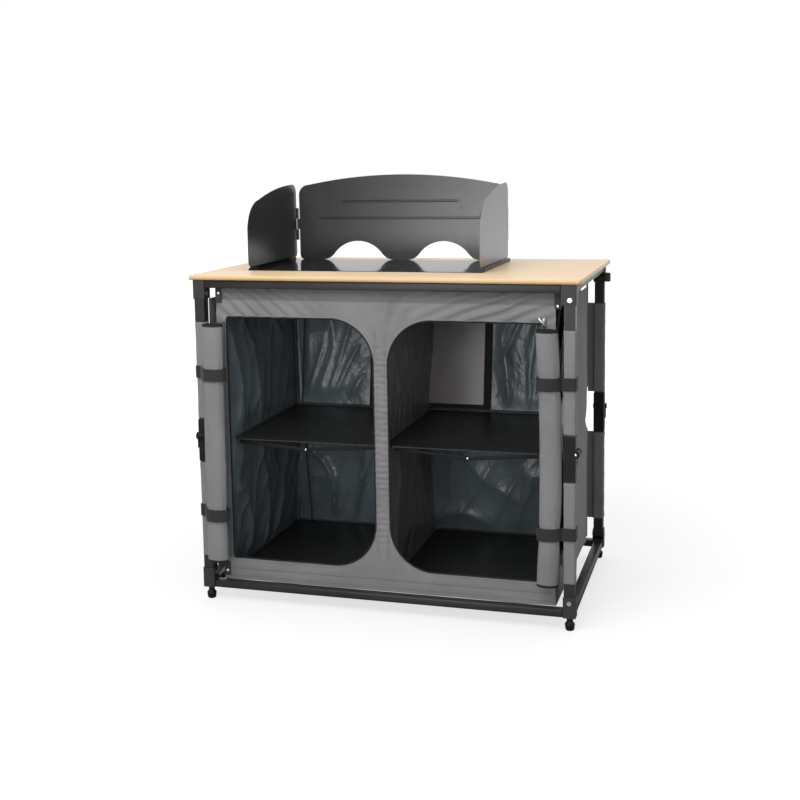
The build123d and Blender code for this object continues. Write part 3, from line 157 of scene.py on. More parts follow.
bm = bmesh.new()
bmesh.ops.create_grid(bm, x_segments=1, y_segments=1, size=20.0)
floor_mesh = bpy.data.meshes.new("floor")
bm.to_mesh(floor_mesh)
bm.free()
floor = bpy.data.objects.new("floor", floor_mesh)
floor_mat = bpy.data.materials.new("studio_floor")
floor_mat.use_nodes = True
ground = floor_mat.node_tree
floor_shader = ground.nodes["Principled BSDF"]
floor_shader.inputs["Base Color"].default_value = FLOOR_COLOUR
floor_shader.inputs["Roughness"].default_value = 0.9
floor_shader.inputs["Specular IOR Level"].default_value = 0.0
floor_glow = ground.nodes.new("ShaderNodeEmission")
floor_glow.inputs["Color"].default_value = WHITE
floor_place = ground.nodes.new("ShaderNodeTexCoord")
floor_away = ground.nodes.new("ShaderNodeVectorMath")
floor_away.operation = "LENGTH"
ground.links.new(floor_place.outputs["Object"], floor_away.inputs[0])
floor_split = ground.nodes.new("ShaderNodeSeparateXYZ")
ground.links.new(floor_place.outputs["Object"], floor_split.inputs[0])
floor_rim = map_range(ground, floor_away.outputs["Value"], 0.8, 2.6, FLOOR_GLOW, 1.0)
floor_seen = seen_white(ground, map_range(ground, floor_split.outputs["Y"], 0.0, 1.2))
ground.links.new(add_math(ground, "MULTIPLY", floor_seen, floor_rim), floor_glow.inputs["Strength"])
floor_add = ground.nodes.new("ShaderNodeAddShader")
ground.links.new(floor_shader.outputs[0], floor_add.inputs[0])
ground.links.new(floor_glow.outputs[0], floor_add.inputs[1])
ground.links.new(floor_add.outputs[0], ground.nodes["Material Output"].inputs["Surface"])
floor_mesh.materials.append(floor_mat)
scene.collection.objects.link(floor)


# ---- Base and top rails ----
# Square steel tubes with rounded corners, powder coated satin black. They push onto the
# stubs of the plastic corner blocks.
RAIL_WIDTH = 0.024
RAIL_CORNER = 0.0025
BASE_RAIL = (0.032, 0.050)
TOP_RAIL = (0.789, 0.809)


def finish_piece(mesh_builder, name, material, body, stands_for=(), smooth=True):
    """Turns a bmesh into a piece of the cupboard that rides on a body."""
    mesh = bpy.data.meshes.new(name)
    mesh_builder.to_mesh(mesh)
    mesh_builder.free()
    for face in mesh.polygons:
        face.use_smooth = smooth
    piece = bpy.data.objects.new(name, mesh)
    scene.collection.objects.link(piece)
    for one in material if isinstance(material, (list, tuple)) else [material]:
        mesh.materials.append(one)
    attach(piece, body)
    if stands_for:
        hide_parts(*stands_for)
    return piece


def surface(name, colour, roughness, metallic=0.0, specular=0.5):
    """A new material with its plain shader, its object coordinates and its node tree."""
    material = bpy.data.materials.new(name)
    material.use_nodes = True
    shader = material.node_tree.nodes["Principled BSDF"]
    shader.inputs["Base Color"].default_value = (*colour, 1.0)
    shader.inputs["Roughness"].default_value = roughness
    shader.inputs["Metallic"].default_value = metallic
    shader.inputs["Specular IOR Level"].default_value = specular
    where = material.node_tree.nodes.new("ShaderNodeTexCoord")
    return material, shader, where


def mottle(material, where, scale, detail=3.0, stretch=(1.0, 1.0, 1.0)):
    """A noise pattern on the piece, stretched along its axes."""
    nodes, links = material.node_tree.nodes, material.node_tree.links
    turn = nodes.new("ShaderNodeMapping")
    turn.inputs["Scale"].default_value = stretch
    grain = nodes.new("ShaderNodeTexNoise")
    grain.inputs["Scale"].default_value = scale
    grain.inputs["Detail"].default_value = detail
    links.new(where.outputs["Object"], turn.inputs["Vector"])
    links.new(turn.outputs["Vector"], grain.inputs["Vector"])
    return grain


def tint(material, shader, pattern, low, high, start=0.3, stop=0.7):
    """Colours the shader between two colours by a pattern."""
    nodes, links = material.node_tree.nodes, material.node_tree.links
    ramp = nodes.new("ShaderNodeValToRGB")
    ramp.color_ramp.elements[0].position = start
    ramp.color_ramp.elements[1].position = stop
    ramp.color_ramp.elements[0].color = (*low, 1.0)
    ramp.color_ramp.elements[1].color = (*high, 1.0)
    links.new(pattern, ramp.inputs["Fac"])
    links.new(ramp.outputs["Color"], shader.inputs["Base Color"])
    return ramp


def relief(material, shader, height, strength, distance):
    """Raises the surface by a pattern."""
    nodes, links = material.node_tree.nodes, material.node_tree.links
    bump = nodes.new("ShaderNodeBump")
    bump.inputs["Strength"].default_value = strength
    bump.inputs["Distance"].default_value = distance
    links.new(height, bump.inputs["Height"])
    links.new(bump.outputs["Normal"], shader.inputs["Normal"])


def roughen(material, shader, pattern, low, high):
    """Varies the roughness between two values by a pattern."""
    spread = map_range(material.node_tree, pattern, 0.0, 1.0, low, high)
    material.node_tree.links.new(spread, shader.inputs["Roughness"])


def hard_skin(name, colour, tones, shine, patches, grain, bump, specular=0.5):
    """A hard surface: soft patches of tone and shine, and a fine grain that stands up a little."""
    roughness, dullness = shine
    material, shader, where = surface(name, colour, roughness, specular=specular)
    cloud = mottle(material, where, *patches).outputs["Fac"]
    tint(material, shader, cloud, *tones)
    if dullness:
        roughen(material, shader, cloud, *dullness)
    relief(material, shader, mottle(material, where, grain, 2.0).outputs["Fac"], *bump)
    return material


frame_coat = hard_skin(
    "satin_black_powder_coat", (0.028, 0.027, 0.028), ((0.016, 0.0155, 0.016), (0.027, 0.026, 0.027)),
    (0.42, (0.36, 0.5)), (9.0, 4.0), 900.0, (0.25, 0.0004),
)


def round_edges(bm, corners, offset, segments):
    """Rounds all edges that meet at these corners."""
    edges = list(dict.fromkeys(edge for vert in corners for edge in vert.link_edges))
    bmesh.ops.bevel(bm, geom=edges, offset=offset, segments=segments, profile=0.5, affect="EDGES", material=-1)


def box_tube(bm, low, high, corner):
    """One square tube with rounded edges between two corners of its box."""
    made = bmesh.ops.create_cube(bm, size=1.0)["verts"]
    size = [high[i] - low[i] for i in range(3)]
    middle = [(high[i] + low[i]) / 2 for i in range(3)]
    bmesh.ops.scale(bm, vec=size, verts=made)
    bmesh.ops.translate(bm, vec=middle, verts=made)
    round_edges(bm, made, corner, 3)


LEG_X = 0.454
LEG_Y = 0.270
BLOCK = 0.030
TOP_REACH = 0.021
for level, span, reach in (("base", BASE_RAIL, BLOCK / 2), ("top", TOP_RAIL, TOP_REACH)):
    body = "base" if level == "base" else "top_frame"
    bm = bmesh.new()
    for side in (-1, 1):
        near, far = (BLOCK / 2, reach) if side < 0 else (reach, BLOCK / 2)
        low = (-LEG_X + near, side * LEG_Y - RAIL_WIDTH / 2, span[0])
        high = (LEG_X - far, side * LEG_Y + RAIL_WIDTH / 2, span[1])
        box_tube(bm, low, high, RAIL_CORNER)
    finish_piece(bm, f"{level}_rails_long_tubes", frame_coat, body, [f"{level}_rails_long"])
    bm = bmesh.new()
    for side in (-1, 1):
        front_gap = reach if side < 0 else BLOCK / 2
        rear_gap = BLOCK / 2 if side < 0 else reach
        low = (side * LEG_X - RAIL_WIDTH / 2, -LEG_Y + front_gap, span[0])
        high = (side * LEG_X + RAIL_WIDTH / 2, LEG_Y - rear_gap, span[1])
        box_tube(bm, low, high, RAIL_CORNER)
    finish_piece(bm, f"{level}_rails_short_tubes", frame_coat, body, [f"{level}_rails_short"])


# ---- Corner blocks, knuckles and feet ----
# Glass-filled nylon mouldings, matt charcoal and black, with bright steel rivets. The leg ends
# turn in the blocks, and the halves of each leg turn on a pin in the knuckle.
def dress(node, material):
    """Gives a CAD node a better material."""
    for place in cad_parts[node].material_slots:
        place.material = material


CORNERS = {
    "front_right": (LEG_X, -LEG_Y),
    "front_left": (-LEG_X, -LEG_Y),
    "rear_left": (-LEG_X, LEG_Y),
    "rear_right": (LEG_X, LEG_Y),
}
nylon = hard_skin(
    "moulded_black_nylon", (0.012, 0.0118, 0.012), ((0.009, 0.0088, 0.009), (0.016, 0.0157, 0.016)),
    (0.5, (0.45, 0.6)), (14.0, 3.0), 700.0, (0.3, 0.0003), specular=0.2,
)
block_nylon = hard_skin(
    "moulded_charcoal_nylon", (0.034, 0.034, 0.035), ((0.030, 0.030, 0.031), (0.042, 0.042, 0.043)),
    (0.5, None), (14.0, 3.0), 700.0, (0.3, 0.0003), specular=0.4,
)
steel, steel_shader, steel_where = surface("bright_rivet_steel", (0.78, 0.78, 0.79), 0.22, metallic=1.0)
steel_patches = mottle(steel, steel_where, 260.0, 3.0)
roughen(steel, steel_shader, steel_patches.outputs["Fac"], 0.16, 0.32)

for node in ("base_corner_blocks", "top_corner_blocks"):
    dress(node, block_nylon)
for node in ("base_pivot_rivets", "top_pivot_rivets", "windshield_hinge_pins"):
    dress(node, steel)
for corner in CORNERS:
    dress(f"lower_leg_{corner}", frame_coat)
    dress(f"upper_leg_{corner}", frame_coat)
    dress(f"lower_knuckle_{corner}", nylon)
    dress(f"upper_knuckle_{corner}", nylon)

KNEE_Z = 0.421
KNEE_OUT = 0.015
PIN_END = 0.0184
KNEES = {"front_right": (1, 0), "front_left": (0, -1), "rear_left": (-1, 0), "rear_right": (0, 1)}
HEAD_PROFILE = ((0.0, 0.0013), (0.0016, 0.0012), (0.0028, 0.0008), (0.0034, 0.0), (0.0034, -0.0004), (0.0, -0.0004))


def turned(bm, profile, steps):
    """A round part made by turning the radii and heights of its profile about the Z axis."""
    ring = [bm.verts.new((radius, 0.0, height)) for radius, height in profile]
    edges = [bm.edges.new(pair) for pair in zip(ring, ring[1:])]
    bmesh.ops.spin(bm, geom=ring + edges, cent=(0, 0, 0), axis=(0, 0, 1), angle=2 * pi, steps=steps, use_merge=True)


def closed(bm):
    """Welds edges that meet, and turns the faces outwards."""
    bmesh.ops.remove_doubles(bm, verts=bm.verts, dist=0.00002)
    bmesh.ops.recalc_face_normals(bm, faces=bm.faces)
    return bm


def rivet_head(bm, place, direction):
    """A low domed rivet head on a face that looks in the given direction."""
    turned(bm, HEAD_PROFILE, 16)
    dome = [vert for vert in bm.verts if not vert.tag]
    bmesh.ops.rotate(bm, cent=(0, 0, 0), matrix=Vector(direction).to_track_quat("Z", "Y").to_matrix(), verts=dome)
    bmesh.ops.translate(bm, vec=place, verts=dome)
    for vert in dome:
        vert.tag = True


for corner, (knee_x, knee_y) in KNEES.items():
    leg_x, leg_y = CORNERS[corner]
    bm = bmesh.new()
    for end in (-1, 1):
        along_x, along_y = end * abs(knee_y), end * abs(knee_x)
        place = (
            leg_x + knee_x * KNEE_OUT + along_x * PIN_END, leg_y + knee_y * KNEE_OUT + along_y * PIN_END, KNEE_Z
        )
        rivet_head(bm, place, (along_x, along_y, 0))
    finish_piece(closed(bm), f"knee_rivet_heads_{corner}", steel, f"lower_leg_{corner}")

FOOT_PROFILE = (
    (0.0, 0.0), (0.0085, 0.0), (0.0095, 0.0008), (0.0105, 0.004), (0.0118, 0.0135), (0.012, 0.0146),
    (0.0114, 0.0156), (0.009, 0.0186), (0.0078, 0.0205), (0.0075, 0.022), (0.0075, 0.0312),
    (0.0068, 0.0316), (0.0, 0.0316),
)
for corner, (x, y) in CORNERS.items():
    bm = bmesh.new()
    turned(bm, FOOT_PROFILE, 32)
    closed(bm)
    bmesh.ops.translate(bm, vec=(x, y, 0.0), verts=bm.verts)
    finish_piece(bm, f"foot_{corner}_bell", nylon, f"foot_{corner}", [f"levelling_foot_{corner}"])


# ---- Worktop ----
# A bamboo-faced board with the grain along its length. The rounded edge shows its pale and darker
# layers under a thin clear varnish; the darkest band, at the foot of the edge, is painted shadow.
TOP_SIZE = (0.960, 0.576, 0.011)
TOP_FOOT = 0.809
TOP_CORNER = 0.008
bm = bmesh.new()
bmesh.ops.create_grid(bm, x_segments=1, y_segments=1, size=0.5)
bmesh.ops.scale(bm, vec=(TOP_SIZE[0], TOP_SIZE[1], 1.0), verts=bm.verts)
bmesh.ops.bevel(bm, geom=list(bm.verts), offset=TOP_CORNER, segments=6, profile=0.5, affect="VERTICES", material=-1)
sides = bmesh.ops.extrude_face_region(bm, geom=list(bm.faces))
raised = [item for item in sides["geom"] if isinstance(item, bmesh.types.BMVert)]
bmesh.ops.translate(bm, vec=(0, 0, TOP_SIZE[2]), verts=raised)
bmesh.ops.recalc_face_normals(bm, faces=bm.faces)
rims = [edge for edge in bm.edges if abs(edge.verts[0].co.z - edge.verts[1].co.z) < 0.0001]
bmesh.ops.bevel(bm, geom=rims, offset=0.0012, segments=3, profile=0.5, affect="EDGES", material=-1)
bmesh.ops.translate(bm, vec=(0, 0, TOP_FOOT), verts=bm.verts)

wood, wood_shader, wood_where = surface("varnished_bamboo", (0.72, 0.52, 0.32), 0.38, specular=0.3)
wood_nodes, wood_links = wood.node_tree.nodes, wood.node_tree.links
strands = mottle(wood, wood_where, 6.0, 6.0, (1.0, 30.0, 30.0))
fibres = mottle(wood, wood_where, 40.0, 4.0, (0.6, 26.0, 26.0))
grain = add_math(wood.node_tree, "MULTIPLY_ADD", fibres.outputs["Fac"], 0.35, strands.outputs["Fac"])
face_ramp = tint(wood, wood_shader, grain, (0.66, 0.46, 0.26), (0.84, 0.64, 0.42), 0.42, 0.86)
split = wood_nodes.new("ShaderNodeSeparateXYZ")
wood_links.new(wood_where.outputs["Object"], split.inputs[0])
layer_and_shadow_height = map_range(wood.node_tree, split.outputs["Z"], TOP_FOOT, TOP_FOOT + TOP_SIZE[2])
# Colours of the edge by height: the upper stops are the board's own layers, and the darkest stop at the foot is a
# painted shadow line under the board.
layer_and_shadow_ramp = wood_nodes.new("ShaderNodeValToRGB")
layer_and_shadow_ramp.color_ramp.elements[0].color = (0.34, 0.21, 0.10, 1.0)
layer_and_shadow_ramp.color_ramp.elements[1].color = (0.84, 0.62, 0.34, 1.0)
layer_and_shadow_ramp.color_ramp.elements[0].position = 0.10
layer_and_shadow_ramp.color_ramp.elements[1].position = 0.80
for place, colour in ((0.24, (0.62, 0.42, 0.22)), (0.34, (0.50, 0.31, 0.15)), (0.45, (0.76, 0.53, 0.28))):
    stop = layer_and_shadow_ramp.color_ramp.elements.new(place)
    stop.color = (*colour, 1.0)
wood_links.new(layer_and_shadow_height, layer_and_shadow_ramp.inputs["Fac"])
facing = wood_nodes.new("ShaderNodeSeparateXYZ")
wood_links.new(wood_where.outputs["Normal"], facing.inputs[0])
edge_share = map_range(wood.node_tree, facing.outputs["Z"], 0.35, 0.75)
both = wood_nodes.new("ShaderNodeMix")
both.data_type = "RGBA"
wood_links.new(edge_share, both.inputs["Factor"])
wood_links.new(layer_and_shadow_ramp.outputs["Color"], both.inputs[6])
wood_links.new(face_ramp.outputs["Color"], both.inputs[7])
wood_links.new(both.outputs[2], wood_shader.inputs["Base Color"])
roughen(wood, wood_shader, strands.outputs["Fac"], 0.30, 0.46)
relief(wood, wood_shader, fibres.outputs["Fac"], 0.15, 0.0003)
wood_shader.inputs["Coat Weight"].default_value = 0.08
wood_shader.inputs["Coat Roughness"].default_value = 0.18
finish_piece(bm, "worktop_board", wood, "top_frame", ["worktop"])


# ---- Windshield ----
# Thin steel sheets with pressed beads, coated satin charcoal, hinged together at the back
# corners. They stand on a glossy black enamelled tray.
shield_coat = hard_skin(
    "satin_charcoal_coat", (0.020, 0.020, 0.021), ((0.016, 0.016, 0.0175), (0.023, 0.023, 0.025)),
    (0.26, (0.23, 0.29)), (5.0, 3.0), 1100.0, (0.2, 0.0003), specular=0.8,
)
for node in ("windshield_back_panel", "windshield_wing_left", "windshield_wing_right"):
    dress(node, shield_coat)

enamel, enamel_shader, enamel_where = surface("glossy_black_enamel", (0.012, 0.012, 0.013), 0.08, specular=0.04)
enamel_waves = mottle(enamel, enamel_where, 22.0, 1.0)
roughen(enamel, enamel_shader, enamel_waves.outputs["Fac"], 0.06, 0.11)
relief(enamel, enamel_shader, enamel_waves.outputs["Fac"], 0.04, 0.0008)
dress("windshield_tray", enamel)


# ---- Leg sleeves ----
# Tubes of mid-grey woven polyester slipped over each leg half and hemmed at both ends. The slack
# cloth creases a little across the tube, and the rear ones keep a sewn fin on their inner side.
UPPER_SLEEVE = (0.464, 0.705)
LOWER_SLEEVE = (0.113, 0.354)
SLEEVE_HALF = 0.0138
SLEEVE_BORE = 0.0129
SLEEVE_ROWS = 72
SLEEVE_TUCK = 0.008
HEM_START = 0.012
HEM_FULL = 0.010
FIN = (0.4235, 0.4405)
FIN_BACK = 0.0035
FIN_THICK = 0.0016


def woven(name, colour, spread, thread, roughness=0.85, sheen=0.12):
    """Plain-woven cloth: threads crossed along the three axes, each a little lighter or darker."""
    low = tuple(c * (1 - spread) for c in colour)
    high = tuple(c * (1 + spread) for c in colour)
    material, shader, where = surface(name, colour, roughness, specular=0.25)
    shader.inputs["Sheen Weight"].default_value = sheen
    shader.inputs["Sheen Roughness"].default_value = 0.5
    tree = material.node_tree
    flecks = mottle(material, where, 520.0, 3.0, (1.0, 1.0, 0.4))
    clouds = mottle(material, where, 8.0, 4.0)
    mix = add_math(tree, "MULTIPLY_ADD", flecks.outputs["Fac"], 0.55, clouds.outputs["Fac"])
    tint(material, shader, mix, low, high, 0.5, 1.05)
    threads = None
    for axis in ("X", "Y", "Z"):
        wave = tree.nodes.new("ShaderNodeTexWave")
        wave.bands_direction = axis
        wave.inputs["Scale"].default_value = thread
        wave.inputs["Distortion"].default_value = 0.5
        wave.inputs["Detail"].default_value = 1.0
        tree.links.new(where.outputs["Object"], wave.inputs["Vector"])
        lines = wave.outputs["Fac"]
        threads = lines if threads is None else add_math(tree, "ADD", threads, lines)
    relief(material, shader, threads, 0.3, 0.0003)
    return material


def sheet_from(columns, rows, place):
    """A cloth grid whose points are placed by how far across and along the cloth they lie."""
    bm = bmesh.new()
    bmesh.ops.create_grid(bm, x_segments=columns, y_segments=rows, size=0.5)
    for vert in bm.verts:
        vert.co = Vector(place(vert.co.x + 0.5, vert.co.y + 0.5))
    return bm


def give_thickness(bm, thick):
    """Turns a sheet into cloth with two faces and crisp edges."""
    bmesh.ops.recalc_face_normals(bm, faces=bm.faces)
    bmesh.ops.solidify(bm, geom=list(bm.faces), thickness=thick)
    bmesh.ops.recalc_face_normals(bm, faces=bm.faces)
    for edge in bm.edges:
        edge.smooth = edge.calc_face_angle(0.0) < 1.0


def rise_between(value, low, high):
    """A smooth step from 0 to 1."""
    share = min(max((value - low) / (high - low), 0.0), 1.0)
    return share * share * (3 - 2 * share)


def bell(value, middle, width):
    """1 at the middle, and close to 0 at twice the width from it."""
    return exp(-((value - middle) / width) ** 2)


def boxed(turn, half):
    """A point on a square with rounded corners."""
    side, front = cos(turn), sin(turn)
    reach = half / (abs(side) ** 8 + abs(front) ** 8) ** 0.125
    return reach * side, reach * front


outer_cloth = woven("grey_woven_polyester", (0.235, 0.229, 0.235), 0.12, 260.0)

for corner, (leg_x, leg_y) in CORNERS.items():
    for half_name, (low, high) in (("upper", UPPER_SLEEVE), ("lower", LOWER_SLEEVE)):

        def sleeve_point(across, along):
            row = round(along * SLEEVE_ROWS)
            turn = 2 * pi * across
            inner = min(row, SLEEVE_ROWS - row)
            level = low + (high - low) * min(max((row - 1) / (SLEEVE_ROWS - 2), 0.0), 1.0)
            if inner == 0:
                x, y = boxed(turn, SLEEVE_BORE)
                level += SLEEVE_TUCK if row == 0 else -SLEEVE_TUCK
                return leg_x + x, leg_y + y, level
            if inner == 1:
                x, y = boxed(turn, (SLEEVE_BORE + SLEEVE_HALF) / 2)
                return leg_x + x, leg_y + y, level
            slack = noise.noise(Vector((2 * cos(turn) + 7 * leg_x, 2 * sin(turn) + 9 * leg_y, level * 26)))
            crease = noise.noise(Vector((3 * cos(turn) + 5 * leg_x, 3 * sin(turn), level * 95 + 4 * cos(turn))))
            reach = (high - low) / 2
            hem = 0.0004 * rise_between(abs(level - (low + high) / 2), reach - HEM_START, reach - HEM_FULL)
            out = 0.0005 * slack + 0.0004 * crease + hem
            x, y = boxed(turn, SLEEVE_HALF + min(max(out, -0.0004), 0.0011))
            return leg_x + x, leg_y + y, level

        bm = closed(sheet_from(56, SLEEVE_ROWS, sleeve_point))
        sleeve = finish_piece(
            bm, f"{half_name}_sleeve_{corner}_cloth", outer_cloth, f"{half_name}_leg_{corner}",
            [f"{half_name}_sleeve_{corner}"],
        )

for corner in ("rear_left", "rear_right"):
    leg_x, leg_y = CORNERS[corner]
    side = 1 if leg_x > 0 else -1
    for half_name, (low, high) in (("upper", UPPER_SLEEVE), ("lower", LOWER_SLEEVE)):

        def fin_point(across, along):
            z = low + along * (high - low)
            wave = 0.0010 * noise.noise(Vector((across * 2, z * 18, leg_x)))
            return side * (FIN[0] + across * (FIN[1] - FIN[0])), leg_y - FIN_BACK + wave, z

        bm = sheet_from(6, 60, fin_point)
        give_thickness(bm, FIN_THICK)
        fin = finish_piece(
            bm, f"{half_name}_sleeve_fin_{corner}_cloth", outer_cloth, f"{half_name}_leg_{corner}"
        )


# ---- Front cloth ----
# One layer of the grey polyester between the front legs, sewn from a top band, two uprights with
# the post between them, and a foot hem. Black tape binds the two D-shaped openings.
CLOTH_HALF = 0.419
CLOTH_FOOT = 0.0508
CLOTH_TOP = 0.787
CLOTH_Y = -0.2608
CLOTH_CELL = 0.0036
CLOTH_THICK = 0.0012
OPEN_INNER = 0.018
OPEN_OUTER = 0.393
OPEN_FOOT = 0.107
OPEN_TOP = 0.717
OPEN_ROUND = 0.108
OPEN_TIGHT = 0.006
POST_SEAM = 0.013
BAND_SEAM = 0.7575
HEM_SEAM = 0.0775
STRIP_SEAM = 0.7598
STITCH = (0.0024, 0.0006)
STITCH_PITCH = 0.0034
STITCH_LIFT = 0.0002
STITCH_COLUMNS = (-0.0155, -0.0105, 0.0105, 0.0155)
STITCH_ROWS = (0.7632, 0.7835, 0.0795, 0.0605)
BINDING_STEP = 0.004
BINDING_OFFSET = 0.0075


def fold_down(piece):
    """Gives the piece a mesh of its own."""
    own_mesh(piece)


def cloth_piece(bm, thick, name, material, stands_for=()):
    """A sheet with its thickness, made a piece of the base with a mesh of its own."""
    give_thickness(bm, thick)
    piece = finish_piece(bm, name, material, "base", stands_for)
    fold_down(piece)
    return piece


def opening_gap(x, z):
    """How far a point lies outside the nearer opening of the front, or inside if negative."""
    across = abs(x) - (OPEN_INNER + OPEN_OUTER) / 2
    rise = z - (OPEN_FOOT + OPEN_TOP) / 2
    turn = OPEN_ROUND if across < 0 else OPEN_TIGHT
    dx = abs(across) - (OPEN_OUTER - OPEN_INNER) / 2 + turn
    dz = abs(rise) - (OPEN_TOP - OPEN_FOOT) / 2 + turn
    return min(max(dx, dz), 0.0) + hypot(max(dx, 0.0), max(dz, 0.0)) - turn


def cut_and_snap(bm, gap):
    """Deletes the faces inside a shape and moves the new rim onto its outline."""
    inside = [face for face in bm.faces if gap(*face.calc_center_median().xz) < 0]
    bmesh.ops.delete(bm, geom=inside, context="FACES")
    step = 0.0005
    for vert in bm.verts:
        if not vert.is_boundary or abs(gap(vert.co.x, vert.co.z)) > 0.006:
            continue
        for _ in range(3):
            here = gap(vert.co.x, vert.co.z)
            slope_x = (gap(vert.co.x + step, vert.co.z) - here) / step
            slope_z = (gap(vert.co.x, vert.co.z + step) - here) / step
            steep = max(slope_x ** 2 + slope_z ** 2, 0.25)
            vert.co.x -= here * slope_x / steep
            vert.co.z -= here * slope_z / steep


def front_relief(x, z):
    """How far the front cloth stands out of its plane: sags, pulls, puckers and seams."""
    band = rise_between(z, OPEN_TOP - 0.03, OPEN_TOP + 0.015)
    foot = 1 - rise_between(z, OPEN_FOOT - 0.02, OPEN_FOOT + 0.01)
    drift = noise.noise(Vector((x * 9, 2.0, z * 5)))
    out = 0.0010 * noise.noise(Vector((x * 6, 0.3, z * 9)))
    left, right, centre = bell(x, -0.31, 0.13), bell(x, 0.27, 0.15), bell(x, 0.01, 0.09)
    out += band * left * 0.0036 * sin((x * 1.0 + z * 1.15) * 2 * pi / 0.040 + 2 * drift)
    out += band * right * 0.0036 * sin((x * 0.45 - z * 1.25) * 2 * pi / 0.034 + 2.4 * drift)
    fan = atan2(z - 0.60, abs(x - 0.01) + 0.02)
    out += band * centre * 0.0022 * sin(fan * 24 + drift)
    post = bell(x, 0.0, 0.021) * rise_between(z, 0.13, 0.2) * (1 - rise_between(z, 0.62, 0.69))
    pucker = noise.noise(Vector((x * 60, 5.0, z * 130)))
    out += post * (0.0026 * pucker + 0.0010 * sin(z * 2 * pi / 0.0145 + 3 * drift))
    out += foot * 0.0034 * noise.noise(Vector((x * 11, 8.0, z * 22)))
    for seam_x in (-POST_SEAM, POST_SEAM):
        out -= post * 0.0008 * bell(x, seam_x, 0.0022)
    out -= 0.0010 * rise_between(z, 0.7585, 0.7612)
    out -= 0.0008 * bell(z, BAND_SEAM, 0.0022)
    out -= 0.0008 * bell(z, HEM_SEAM, 0.0022)
    out -= 0.0006 * bell(opening_gap(x, z), BINDING_OFFSET, 0.0018)
    out -= band * 0.0007 * bell(x, 0.012, 0.0020)
    return out


front_height = CLOTH_TOP - CLOTH_FOOT


def front_point(across, along):
    return (across * 2 - 1) * CLOTH_HALF, CLOTH_Y, CLOTH_FOOT + along * front_height


bm = sheet_from(round(2 * CLOTH_HALF / CLOTH_CELL), round(front_height / CLOTH_CELL), front_point)
cut_and_snap(bm, opening_gap)
for vert in bm.verts:
    vert.co.y -= front_relief(vert.co.x, vert.co.z)

# A darker copy of the grey cloth for the strip above the band's seam: painted shade that makes the strip darker than
# the band below it.
shaded_top_strip_cloth = woven("grey_polyester_top_strip_painted_shade", (0.185, 0.180, 0.187), 0.12, 260.0)
# The outline's round corners lie within this height of each opening's foot and top
SPANDREL = 0.110
CORNER_AREA = (1 - pi / 4) * OPEN_ROUND ** 2
UPRIGHT_WIDTH = 2 * OPEN_INNER + 2 * (CLOTH_HALF - OPEN_OUTER)
front_parts = []
for part_name, low, high, solid_band in (
    ("front_cloth_foot_hem", CLOTH_FOOT, OPEN_FOOT + SPANDREL, OPEN_FOOT - CLOTH_FOOT),
    ("front_cloth_uprights", OPEN_FOOT + SPANDREL, OPEN_TOP - SPANDREL, 0.0),
    ("front_cloth_top_band", OPEN_TOP - SPANDREL, CLOTH_TOP, CLOTH_TOP - OPEN_TOP),
):
    part = bm.copy()
    outside = [face for face in part.faces if not low <= face.calc_center_median().z < high]
    bmesh.ops.delete(part, geom=outside, context="FACES")
    give_thickness(part, CLOTH_THICK)
    # Faces above the strip's seam take the darker copy of the cloth, which is painted shade.
    for face in part.faces:
        face.material_index = 1 if face.calc_center_median().z > STRIP_SEAM else 0
    piece = finish_piece(part, part_name, [outer_cloth, shaded_top_strip_cloth], "base", ["front_cloth"])
    if solid_band:
        cut = (2 * CLOTH_HALF, high - low)
        area = 2 * CLOTH_HALF * solid_band + UPRIGHT_WIDTH * SPANDREL + 2 * CORNER_AREA
    else:
        cut, area = (UPRIGHT_WIDTH, high - low), None
    front_parts.append((piece, cut, area))
bm.free()

binding_tape = woven("black_binding_tape", (0.020, 0.019, 0.019), 0.2, 420.0, 0.8, 0.05)


def opening_outline(side):
    """Points round one opening, 4 mm apart, each with the direction away from the hole."""
    bends = (
        (OPEN_INNER, OPEN_FOOT, 1, 1, OPEN_ROUND, pi),
        (OPEN_OUTER, OPEN_FOOT, -1, 1, OPEN_TIGHT, 1.5 * pi),
        (OPEN_OUTER, OPEN_TOP, -1, -1, OPEN_TIGHT, 2 * pi),
        (OPEN_INNER, OPEN_TOP, 1, -1, OPEN_ROUND, 2.5 * pi),
    )
    arcs = []
    for x, z, to_x, to_z, turn, start in bends:
        steps = max(6, round(turn * pi / 2 / BINDING_STEP))
        for i in range(steps + 1):
            angle = start + i / steps * pi / 2
            out_x, out_z = cos(angle), sin(angle)
            arcs.append((x + to_x * turn + turn * out_x, z + to_z * turn + turn * out_z, out_x, out_z))
    points = []
    for here, after in zip(arcs, arcs[1:] + arcs[:1]):
        gap = hypot(after[0] - here[0], after[1] - here[1])
        count = round(gap / BINDING_STEP) if gap > 2 * BINDING_STEP else 1
        for k in range(count):
            share = k / count
            x = here[0] + (after[0] - here[0]) * share
            z = here[1] + (after[1] - here[1]) * share
            points.append((side * x, z, side * here[2], here[3]))
    return points


bindings = []
for side, side_name in ((-1, "left"), (1, "right")):
    outline = opening_outline(side)

    def binding_point(across, along):
        x, z, out_x, out_z = outline[round(across * len(outline)) % len(outline)]
        turn = 2 * pi * along
        out = 0.0021 * cos(turn) - 0.0002
        y = CLOTH_Y - front_relief(x, z) + CLOTH_THICK / 2 + 0.0015 * sin(turn)
        return x + out * out_x, y, z + out * out_z

    bm = closed(sheet_from(len(outline), 10, binding_point))
    bindings.append(finish_piece(bm, f"opening_binding_{side_name}", binding_tape, "base"))

thread, thread_shader, thread_where = surface("grey_sewing_thread", (0.10, 0.098, 0.10), 0.6)
thread_twist = mottle(thread, thread_where, 2400.0, 1.0)
tint(thread, thread_shader, thread_twist.outputs["Fac"], (0.07, 0.068, 0.07), (0.14, 0.137, 0.14))


